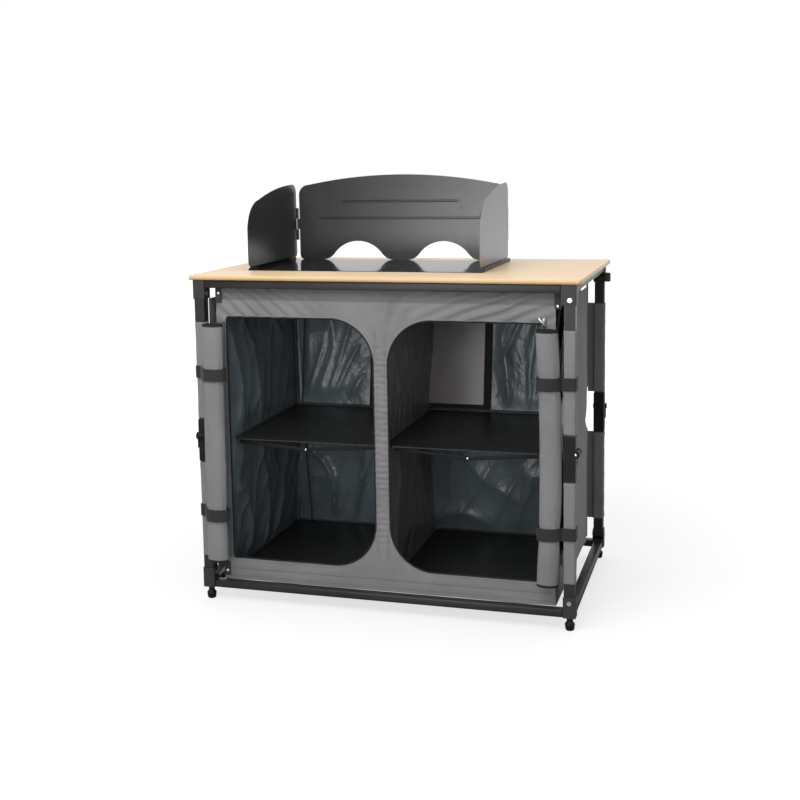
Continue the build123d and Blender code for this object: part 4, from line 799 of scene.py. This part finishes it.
def stitch_line(bm, start, end):
    """A row of stitches on the front cloth between two points in X and Z."""
    run = Vector((end[0] - start[0], 0, end[1] - start[1]))
    count = int(run.length / STITCH_PITCH)
    turn = run.to_track_quat("X", "Z").to_matrix().to_4x4()
    for i in range(count):
        x = start[0] + run.x * (i + 0.5) / count
        z = start[1] + run.z * (i + 0.5) / count
        place = Vector((x, CLOTH_Y - front_relief(x, z) - STITCH_LIFT, z))
        size = Matrix.Diagonal((STITCH[0], STITCH[1], STITCH[1], 1.0))
        bmesh.ops.create_cube(bm, size=1.0, matrix=Matrix.Translation(place) @ turn @ size)


bm = bmesh.new()
for seam_x in STITCH_COLUMNS:
    stitch_line(bm, (seam_x, 0.128), (seam_x, 0.692))
for seam_z in STITCH_ROWS:
    stitch_line(bm, (-CLOTH_HALF + 0.004, seam_z), (CLOTH_HALF - 0.004, seam_z))
for side in (-1, 1):
    for seam_z in (OPEN_TOP + BINDING_OFFSET, OPEN_FOOT - BINDING_OFFSET):
        stitch_line(bm, (side * (OPEN_INNER + OPEN_ROUND), seam_z), (side * OPEN_OUTER, seam_z))
stitches = finish_piece(bm, "front_cloth_stitches", thread, "base", smooth=False)
for (piece, cut, area), going in zip(front_parts, ([], [], [*bindings, stitches])):
    fold_down(piece)
for piece in (*bindings, stitches):
    fold_down(piece)


# ---- Tabs and zip slider ----
# Charcoal webbing tabs with bright rivets hang the front cloth from the top rail and tie it to the
# base. A cast zip slider is parked at the top outer corner of the right opening.
TABS = ((-0.411, 0.751, 0.775), (0.4245, 0.751, 0.7575), (-0.411, 0.060, 0.072))
TAB_WIDTH = 0.016
TAB_LENGTH = 0.036
TAB_THICK = 0.0013
TAB_LIFT = 0.0030
STUD_LIFT = 0.0036
STUD_PROFILE = ((0.0, 0.0030), (0.0022, 0.0028), (0.0040, 0.0020), (0.0048, 0.0009), (0.0050, 0.0))
webbing = woven("charcoal_webbing", (0.045, 0.044, 0.044), 0.2, 330.0, 0.75, 0.1)
for number, (tab_x, tab_foot, stud_z) in enumerate(TABS, 1):

    def tab_point(across, along):
        x = tab_x + (across - 0.5) * TAB_WIDTH
        z = tab_foot + along * TAB_LENGTH
        bow = 0.0004 * sin(pi * along) + 0.0003 * noise.noise(Vector((x * 70, number, z * 70)))
        return x, CLOTH_Y - TAB_LIFT - bow, z

    bm = sheet_from(8, 16, tab_point)
    tab = cloth_piece(bm, TAB_THICK, f"hanger_tab_{number}", webbing, ["hanger_tabs"])
    bm = bmesh.new()
    turned(bm, STUD_PROFILE, 24)
    closed(bm)
    bmesh.ops.rotate(bm, cent=(0, 0, 0), matrix=Matrix.Rotation(pi / 2, 3, "X"), verts=bm.verts)
    bmesh.ops.translate(bm, vec=(tab_x, CLOTH_Y - STUD_LIFT, stud_z), verts=bm.verts)
    stud = finish_piece(bm, f"hanger_tab_{number}_rivet", steel, "base")
    fold_down(stud)

zinc, zinc_shader, zinc_where = surface("cast_zinc", (0.40, 0.39, 0.38), 0.38, metallic=1.0)
zinc_wear = mottle(zinc, zinc_where, 320.0, 3.0)
roughen(zinc, zinc_shader, zinc_wear.outputs["Fac"], 0.24, 0.45)
bm = bmesh.new()
box_tube(bm, (0.3885, -0.2652, 0.7175), (0.3965, -0.2622, 0.7300), 0.0011)
box_tube(bm, (0.3905, -0.2668, 0.7205), (0.3945, -0.2650, 0.7275), 0.0006)
pull_low, pull_high = Vector((0.3800, -0.2680, 0.7310)), Vector((0.3975, -0.2670, 0.7105))
run = pull_high - pull_low
turn = run.to_track_quat("X", "Z").to_matrix().to_4x4()
size = Matrix.Diagonal((run.length, 0.0014, 0.0056, 1.0))
pull = bmesh.ops.create_cube(bm, size=1.0, matrix=Matrix.Translation((pull_low + pull_high) / 2) @ turn @ size)["verts"]
round_edges(bm, pull, 0.0005, 2)
slider = finish_piece(bm, "zip_slider_and_pull", zinc, "base", ["zip_slider"])
fold_down(slider)


# ---- Side panels ----
# One panel of the grey cloth between the front and rear leg on each side, hollowed out round the
# knuckles and arched along its foot. The rear leg draws it in.
PANEL_X = 0.43795
PANEL_HALF = 0.262
PANEL_FOOT = 0.060
PANEL_TOP = 0.7617
PANEL_RISE = 0.035
NOTCH = (0.165, 0.058, 0.421)
NOTCH_POWER = 1.4
PANEL_CELL = 0.005


def panel_gap(y, z):
    """Below 0 where the side panel is cut away, at a knuckle or under the foot's arch."""
    across, up = abs((PANEL_HALF - abs(y)) / NOTCH[0]), abs((z - NOTCH[2]) / NOTCH[1])
    reach = (across ** NOTCH_POWER + up ** NOTCH_POWER) ** (1 / NOTCH_POWER)
    notch = (reach - 1) * min(NOTCH[0], NOTCH[1])
    arch = z - PANEL_FOOT - PANEL_RISE * (1 - (y / PANEL_HALF) ** 2)
    return min(notch, arch)


def panel_relief(y, z, side):
    """Soft upright folds where the panel hangs free, and the way it is drawn in at the rear leg."""
    free = 1 - (abs(y) / PANEL_HALF) ** 6
    fold = noise.noise(Vector((y * 7 + side, z * 1.6, 3.0)))
    fine = noise.noise(Vector((y * 22, z * 9 + side, 7.0)))
    pull = exp(-(hypot((PANEL_HALF - abs(y)) / 0.17, (z - NOTCH[2]) / 0.09) - 1) ** 2 * 6)
    ripple = sin(atan2(z - NOTCH[2], PANEL_HALF - abs(y) + 0.05) * 15 + 3 * fold)
    drawn = 0.0150 * rise_between(y, 0.11, 0.25)
    return free * (0.0032 * fold + 0.0009 * fine + 0.0008 * pull * ripple) - 0.0012 * free - drawn


for side, side_name in ((-1, "left"), (1, "right")):

    def flat_point(across, along):
        return (across * 2 - 1) * PANEL_HALF, 0.0, PANEL_FOOT + along * (PANEL_TOP - PANEL_FOOT)

    bm = sheet_from(round(2 * PANEL_HALF / PANEL_CELL), round((PANEL_TOP - PANEL_FOOT) / PANEL_CELL), flat_point)
    cut_and_snap(bm, panel_gap)
    for vert in bm.verts:
        y, z = vert.co.x, vert.co.z
        vert.co = Vector((side * (PANEL_X + panel_relief(y, z, side)), y, z))
    panel = cloth_piece(
        bm, CLOTH_THICK, f"side_panel_{side_name}_cloth", outer_cloth, ["outer_side_panels"]
    )


# ---- Inner walls, rear wall and window ----
# A lining of slate-blue coated polyester hangs inside the frame and is drawn in by the shelf at
# half height. The rear wall has a smoked film window in its middle, bound in black.
BODY_SECTIONS = ((0.0503, 0.420, 0.250), (0.4095, 0.388, 0.192), (0.787, 0.415, 0.250))
WALL_FRONT = -0.2582
WALL_CORNER = 0.012
REAR_HALF = 0.372
WINDOW = (0.155, 0.425, 0.690)
WALL_EDGE = 0.3965
WALL_FOOT = 0.0505
WALL_HEIGHT = 0.736
WALL_INSET = 0.001
SEAM_FADE = 0.020
TAPE_THICK = 0.0008
FILM_THICK = 0.0006
SEAM_SPAN = (0.058, 0.720)
CORNER_SEAMS = ((REAR_HALF, 0.0030, 0.0045), (None, 0.0055, 0.0035))
LEVEL_SEAMS = (("shelf", 0.4120), ("floor", 0.0562))


def body_at(z):
    """Half width and rear depth of the cloth body at a height, at the middle of the cloth."""
    low, high = BODY_SECTIONS[:2] if z < BODY_SECTIONS[1][0] else BODY_SECTIONS[1:]
    share = (z - low[0]) / (high[0] - low[0])
    return low[1] + (high[1] - low[1]) * share - WALL_INSET, low[2] + (high[2] - low[2]) * share - WALL_INSET


def slack_at(z):
    """0 where the lining is held at the base, the shelf and the top, 1 where it hangs free."""
    near = min(abs(z - section[0]) for section in BODY_SECTIONS)
    return rise_between(near, 0.004, 0.060)


def crumple(s, z, seed):
    """Long slanting folds of thin coated cloth, from 0 in the hollows to 1 on the ridges."""
    bend = noise.noise(Vector((s * 3, z * 3, seed)))
    first = 1 - abs(noise.noise(Vector((s * 7 + z * 2.6 + bend, z * 2.0 - s * 1.5, seed + 3))))
    second = 1 - abs(noise.noise(Vector((s * 15 - z * 5.5, z * 5 + bend * 2, seed + 9))))
    return 0.75 * first ** 7 + 0.35 * second ** 6


def coated(name, colour, roughness):
    """Thin coated cloth: cloudy colour, a soft shine and small sharp crinkles."""
    material, shader, where = surface(name, colour, roughness, specular=0.6)
    clouds = mottle(material, where, 6.0, 4.0)
    tint(material, shader, clouds.outputs["Fac"], tuple(c * 0.82 for c in colour), tuple(c * 1.22 for c in colour))
    crinkles = mottle(material, where, 9.0, 5.0, (1.0, 1.0, 0.55))
    crinkles.inputs["Distortion"].default_value = 0.9
    relief(material, shader, crinkles.outputs["Fac"], 0.85, 0.016)
    return material


lining = coated("slate_blue_lining", (0.135, 0.170, 0.191), 0.32)
brown_lining = coated("brown_grey_lining", (0.185, 0.172, 0.163), 0.36)
for side, side_name in ((-1, "left"), (1, "right")):

    def wall_point(across, along):
        z = WALL_FOOT + along * WALL_HEIGHT
        half, rear = body_at(z)
        straight = rear - WALL_FRONT
        whole = straight + half - REAR_HALF
        s = across * whole
        push = slack_at(z) * rise_between(s, 0.0, 0.05) * rise_between(whole - s, 0.0, SEAM_FADE)
        push *= 0.012 * crumple(s, z, 11 + side)
        half += max(WALL_EDGE - half, 0.0) * (1 - rise_between(s, 0.0, 0.06))
        if s < straight - WALL_CORNER:
            return side * (half - push), WALL_FRONT + s, z
        if s > straight + WALL_CORNER:
            return side * (half - (s - straight)), rear - push, z
        angle = (s - straight + WALL_CORNER) / (2 * WALL_CORNER) * pi / 2
        x = half - WALL_CORNER * (1 - cos(angle)) - push * cos(angle)
        return side * x, rear - WALL_CORNER * (1 - sin(angle)) - push * sin(angle), z

    bm = sheet_from(110, 148, wall_point)
    cloth_piece(
        bm, CLOTH_THICK, f"inner_wall_{side_name}_cloth", lining, ["inner_side_walls"]
    )

seam_tape = woven("brown_seam_tape", (0.060, 0.055, 0.052), 0.2, 420.0, 0.7, 0.05)
for side, side_name in ((-1, "left"), (1, "right")):
    for seam_name, (seam_x, lift, width) in zip(("rear", "corner"), CORNER_SEAMS):

        def seam_point(across, along):
            z = SEAM_SPAN[0] + along * SEAM_SPAN[1]
            half, rear = body_at(z)
            x = half - 0.0075 if seam_x is None else seam_x
            return side * (x + (across - 0.5) * width), rear - lift - 0.0008 * sin(pi * across), z

        bm = sheet_from(4, 90, seam_point)
        cloth_piece(bm, TAPE_THICK, f"{seam_name}_seam_{side_name}_tape", seam_tape)
    for level_name, foot in LEVEL_SEAMS:

        def hem_point(across, along):
            z = foot + across * 0.0055
            half, rear = body_at(foot)
            run = along * (rear - WALL_FRONT + half - 0.02)
            if run < rear - WALL_FRONT - 0.0065:
                return side * (half - 0.0028 + 0.001 * across), WALL_FRONT + 0.004 + run, z
            return side * (half - 0.0028 - (run - rear + WALL_FRONT + 0.0065)), rear - 0.0028 + 0.001 * across, z

        bm = sheet_from(2, 120, hem_point)
        cloth_piece(bm, TAPE_THICK, f"{level_name}_seam_{side_name}_tape", seam_tape)


def window_gap(x, z):
    """Below 0 inside the window."""
    return max(abs(x) - WINDOW[0], abs(z - (WINDOW[1] + WINDOW[2]) / 2) - (WINDOW[2] - WINDOW[1]) / 2)


def rear_point(across, along):
    x = (across * 2 - 1) * (REAR_HALF + 0.004)
    z = WALL_FOOT + along * WALL_HEIGHT
    rear = body_at(z)[1]
    push = slack_at(z) * rise_between(window_gap(x, z), 0.019, 0.070) * 0.020 * crumple(x, z, 31)
    push *= rise_between(REAR_HALF - abs(x), 0.0, SEAM_FADE)
    return x, rear - push + 0.0014 * rise_between(abs(x), REAR_HALF - 0.003, REAR_HALF), z


bm = sheet_from(170, 168, rear_point)
cut_and_snap(bm, window_gap)
rear_wall = cloth_piece(bm, CLOTH_THICK, "rear_wall_cloth", lining, ["rear_wall"])


def binding_gap(x, z):
    """Below 0 inside the hole of the window's binding."""
    return window_gap(x, z) + 0.004


def window_binding_point(across, along):
    x = (across * 2 - 1) * (WINDOW[0] + 0.017)
    z = WINDOW[1] - 0.013 + along * (WINDOW[2] - WINDOW[1] + 0.030)
    rear_y = body_at(z)[1]
    return x, rear_y - 0.0022 - slack_at(z) * 0.0015, z


bm = sheet_from(120, 100, window_binding_point)
cut_and_snap(bm, binding_gap)
window_binding = cloth_piece(bm, CLOTH_THICK, "rear_window_binding", binding_tape)
# The film's smoked grey tint is its own, but its lightness is painted light for the white light that shines through it
# from behind.
film, film_shader, film_where = surface("smoked_film_painted_backlight", (0.23, 0.216, 0.212), 0.32, specular=0.5)
film_waves = mottle(film, film_where, 9.0, 2.0)
tint(film, film_shader, film_waves.outputs["Fac"], (0.20, 0.188, 0.184), (0.28, 0.264, 0.258))
roughen(film, film_shader, film_waves.outputs["Fac"], 0.26, 0.4)
relief(film, film_shader, film_waves.outputs["Fac"], 0.3, 0.004)


def film_point(across, along):
    x = (across * 2 - 1) * (WINDOW[0] - 0.0005)
    z = WINDOW[1] + 0.0005 + along * (WINDOW[2] - WINDOW[1] - 0.001)
    rear_y = body_at(z)[1]
    return x, rear_y - slack_at(z) * 0.0012 * (1 + noise.noise(Vector((x * 9, z * 6, 4.0)))), z


bm = sheet_from(60, 52, film_point)
film_piece = cloth_piece(bm, FILM_THICK, "rear_window_film", film, ["rear_window"])


# ---- Divider and base cloth ----
# A brown-grey wall of the same lining parts the two bays, and a sheet of it closes the bottom
# over the base rails.
INNER_FRONT = -0.2565
BASE_CLOTH_HALF = 0.4165
BASE_CLOTH_DEPTH = 0.503


def divider_point(across, along):
    z = 0.0535 + along * 0.7325
    rear_y = body_at(z)[1]
    y = INNER_FRONT + across * (rear_y - 0.0025 - INNER_FRONT)
    edge = rise_between(y, INNER_FRONT, -0.20)
    return 0.0006 + slack_at(z) * edge * 0.011 * (crumple(y, z, 51) - 0.35), y, z


bm = sheet_from(96, 148, divider_point)
divider = cloth_piece(bm, CLOTH_THICK, "divider_wall_cloth", brown_lining, ["divider_wall"])


def base_cloth_point(across, along):
    return (across * 2 - 1) * BASE_CLOTH_HALF, INNER_FRONT + along * BASE_CLOTH_DEPTH, CLOTH_FOOT


bm = sheet_from(84, 50, base_cloth_point)
base_cloth = cloth_piece(bm, -CLOTH_THICK, "base_cloth_sheet", brown_lining, ["base_cloth"])


# ---- Shelves and floor boards ----
# Thin boards covered in black laminate with a faint leather grain. Two flat steel bars, coated
# black and joined by a bright rivet, brace each shelf under its front.
board = hard_skin(
    "black_laminate", (0.014, 0.0138, 0.0138), ((0.012, 0.0118, 0.0118), (0.019, 0.0186, 0.0186)),
    (0.38, (0.32, 0.5)), (8.0, 4.0), 480.0, (0.25, 0.0003),
)
for node in ("shelf_board_left", "shelf_board_right", "floor_board_left", "floor_board_right"):
    dress(node, board)
BRACE_ENDS = (0.030, 0.372)
BRACE_MIDDLES = (-0.202, 0.206)
BRACE_LEVELS = (0.4010, 0.3880)
BRACE_BAR = (0.0020, 0.0085)
BRACE_OVERLAP = 0.008
bm = bmesh.new()
for side, middle_x in zip((-1, 1), BRACE_MIDDLES):
    for bar_y, end_x in ((-0.2380, BRACE_ENDS[0]), (-0.2405, BRACE_ENDS[1])):
        start, stop = Vector((side * end_x, bar_y, BRACE_LEVELS[0])), Vector((middle_x, bar_y, BRACE_LEVELS[1]))
        run = stop - start
        bar = bmesh.ops.create_cube(
            bm, size=1.0,
            matrix=Matrix.Translation((start + stop) / 2) @ Matrix.Rotation(-atan2(run.z, run.x), 4, "Y")
            @ Matrix.Diagonal((run.length + BRACE_OVERLAP, BRACE_BAR[0], BRACE_BAR[1], 1.0)),
        )["verts"]
        round_edges(bm, bar, 0.0005, 2)
finish_piece(bm, "shelf_brace_bars", nylon, "shelves", ["shelf_braces"])
bm = bmesh.new()
for middle_x in BRACE_MIDDLES:
    rivet_head(bm, (middle_x, -0.2418, BRACE_LEVELS[1]), (0, -1, 0))
finish_piece(closed(bm), "brace_rivet_heads", steel, "shelves")


# ---- Rolled doors ----
# Each door is turned back over the front edge of its opening and rolled up from its free edge,
# with the lining inside. A strip of the lining still shows between the roll and the opening.
ROLL_TOP = 0.705
ROLL_DEPTH = 0.0187
ROLL_END_BINDING = 0.004
ROLL_TURNS = 2.6
ROLL_CORE = 0.34
FLAP_SHARE = 0.14
LEAN_FOOT = 0.113
LEAN_HEIGHT = 0.592
BOW_MIDDLE = 0.41
BOW_REACH = 0.295
ROLL_ENDS = (ROLL_TOP, 0.11)
STRAP_LEVELS = (0.232, 0.582)
# Name, side, middle of the roll, seam on the cloth, angle where the flap meets the roll, foot,
# bow, lean at the foot and the top, half width
DOORS = (
    ("left", -1, Vector((-0.413, -0.3143)), Vector((-0.3965, -0.2632)), 120.0, 0.113, 0.0, (0.003, 0.0085), 0.0302),
    ("right", 1, Vector((0.406, -0.2823)), Vector((0.3965, -0.2629)), 100.0, 0.106, 0.008, (0.001, -0.001), 0.0276),
)


def roll_lean(z, bow, slant):
    """How far the roll stands off its straight line: a bow, and a lean from foot to top."""
    share = (z - LEAN_FOOT) / LEAN_HEIGHT
    return bow * (0.38 - ((z - BOW_MIDDLE) / BOW_REACH) ** 2) + slant[0] + (slant[1] - slant[0]) * share


def roll_squeeze(z):
    """How far the straps draw the roll in."""
    drawn = sum(bell(max(abs(z - level) - 0.012, 0.0), 0.0, 0.026) for level in STRAP_LEVELS)
    ends = sum(bell(z, end, 0.03) for end in ROLL_ENDS)
    return 1 - 0.062 * min(drawn, 1.0) - 0.02 * ends


def roll_relief(turn, z, seed):
    """Slack of the rolled cloth: long dents, and puckers that fan out from the straps."""
    dent = noise.noise(Vector((1.4 * cos(turn) + seed, 1.4 * sin(turn), z * 7)))
    slant = noise.noise(Vector((2.2 * cos(turn + z * 9) + seed, 2.2 * sin(turn + z * 9), z * 16 + 5)))
    out = 0.0011 * dent + 0.0007 * slant
    for level in STRAP_LEVELS:
        away = abs(z - level) - 0.014
        if away > 0:
            out += 0.0009 * sin(turn * 9 + seed + 2 * dent) * exp(-away / 0.022)
        else:
            out = -0.0004
            break
    return out


for name, side, centre, seam, lift_angle, roll_foot, bow, slant, roll_half in DOORS:
    start = radians(lift_angle)
    touch = Vector((roll_half * cos(start), ROLL_DEPTH * sin(start)))
    seam_offset = Vector(((seam.x - centre.x) * -side, seam.y - centre.y))

    def door_point(across, along):
        z = roll_foot + along * (ROLL_TOP - roll_foot)
        lean = roll_lean(z, bow, slant)
        if across < FLAP_SHARE:
            share = across / FLAP_SHARE
            flat = seam_offset.lerp(touch * roll_squeeze(z), share)
            lean *= share
            belly = 0.0012 * sin(pi * share) * (1 + noise.noise(Vector((share * 2, z * 9, side))))
            local = Vector((flat.x, flat.y - belly))
        else:
            wound = (across - FLAP_SHARE) / (1 - FLAP_SHARE)
            turn = start + wound * ROLL_TURNS * 2 * pi
            scale = (1 - (1 - ROLL_CORE) * wound) * roll_squeeze(z)
            slack = roll_relief(turn, z, 3 * side) * (1 - wound) * min(wound * 12, 1.0)
            local = Vector(((roll_half * scale + slack) * cos(turn), (ROLL_DEPTH * scale + slack) * sin(turn)))
        return centre.x - side * local.x + lean, centre.y + local.y, z

    bm = sheet_from(168, 104, door_point)
    give_thickness(bm, 0.0011)
    for face in bm.faces:
        middle = face.calc_center_median()
        off_x = middle.x - centre.x - roll_lean(middle.z, bow, slant)
        beside = hypot(off_x / roll_half, (middle.y - centre.y) / ROLL_DEPTH) > 1.12
        if beside and face.normal.y < -0.2:
            face.material_index = 1
        elif not roll_foot + ROLL_END_BINDING < middle.z < ROLL_TOP - ROLL_END_BINDING:
            face.material_index = 2
    door = finish_piece(
        bm, f"rolled_door_{name}_cloth", [outer_cloth, lining, binding_tape], "base",
        [f"rolled_door_{name}"],
    )
    fold_down(door)


# ---- Straps ----
# Charcoal webbing, 30 mm wide, round each roll at two heights. Each strap goes on round the outer
# face of the leg beside it, to which it is sewn.
STRAP_WIDTH = 0.030
STRAP_THICK = 0.0014
LEG_FACE = 0.4700
STRAP_FRONT = -0.2872
strap_webbing = woven("dark_grey_strap_webbing", (0.030, 0.0292, 0.030), 0.2, 360.0, 0.7, 0.1)
for name, side, centre, seam, lift_angle, roll_foot, bow, slant, roll_half in DOORS:
    for level_name, level in zip(("low", "high"), STRAP_LEVELS):
        middle_x = centre.x + roll_lean(level, bow, slant)
        ring = []
        for i in range(73):
            turn = pi + i / 72 * 2 * pi
            ring.append(Vector((middle_x - side * (roll_half - 0.0002) * cos(turn), centre.y + ROLL_DEPTH * sin(turn))))
        tail = [
            Vector((side * (LEG_FACE - 0.014), STRAP_FRONT)),
            Vector((side * (LEG_FACE - 0.006), STRAP_FRONT)),
            Vector((side * (LEG_FACE - 0.0015), STRAP_FRONT + 0.0015)),
            Vector((side * LEG_FACE, STRAP_FRONT + 0.006)),
            Vector((side * LEG_FACE, -0.2575)),
        ]
        if side > 0:
            tail.insert(0, Vector((side * 0.4375, STRAP_FRONT)))
        line = ring + tail
        lengths = [0.0]
        for i in range(1, len(line)):
            lengths.append(lengths[-1] + (line[i] - line[i - 1]).length)

        def strap_point(across, along):
            spot = across * lengths[-1]
            k = 1
            while k < len(lengths) - 1 and lengths[k] < spot:
                k += 1
            share = (spot - lengths[k - 1]) / max(lengths[k] - lengths[k - 1], 1e-9)
            flat = line[k - 1].lerp(line[k], share)
            return flat.x, flat.y, level + (along - 0.5) * STRAP_WIDTH

        bm = sheet_from(120, 8, strap_point)
        strap = cloth_piece(
            bm, STRAP_THICK, f"roll_strap_{name}_{level_name}", strap_webbing, ["roll_straps"]
        )


# ---- Corner hook ----
# A small hook moulded in olive nylon. It is fixed to the outer face of the rear right corner
# block, under the worktop's edge.
olive, olive_shader, olive_where = surface("olive_nylon", (0.075, 0.078, 0.045), 0.5)
olive_grain = mottle(olive, olive_where, 700.0, 2.0)
tint(olive, olive_shader, olive_grain.outputs["Fac"], (0.062, 0.066, 0.037), (0.09, 0.094, 0.054))
relief(olive, olive_shader, olive_grain.outputs["Fac"], 0.3, 0.0003)
bm = bmesh.new()
box_tube(bm, (0.4692, 0.2505, 0.7630), (0.4835, 0.2625, 0.7870), 0.0028)
finish_piece(bm, "corner_hook_body", olive, "top_frame", ["corner_hook"])
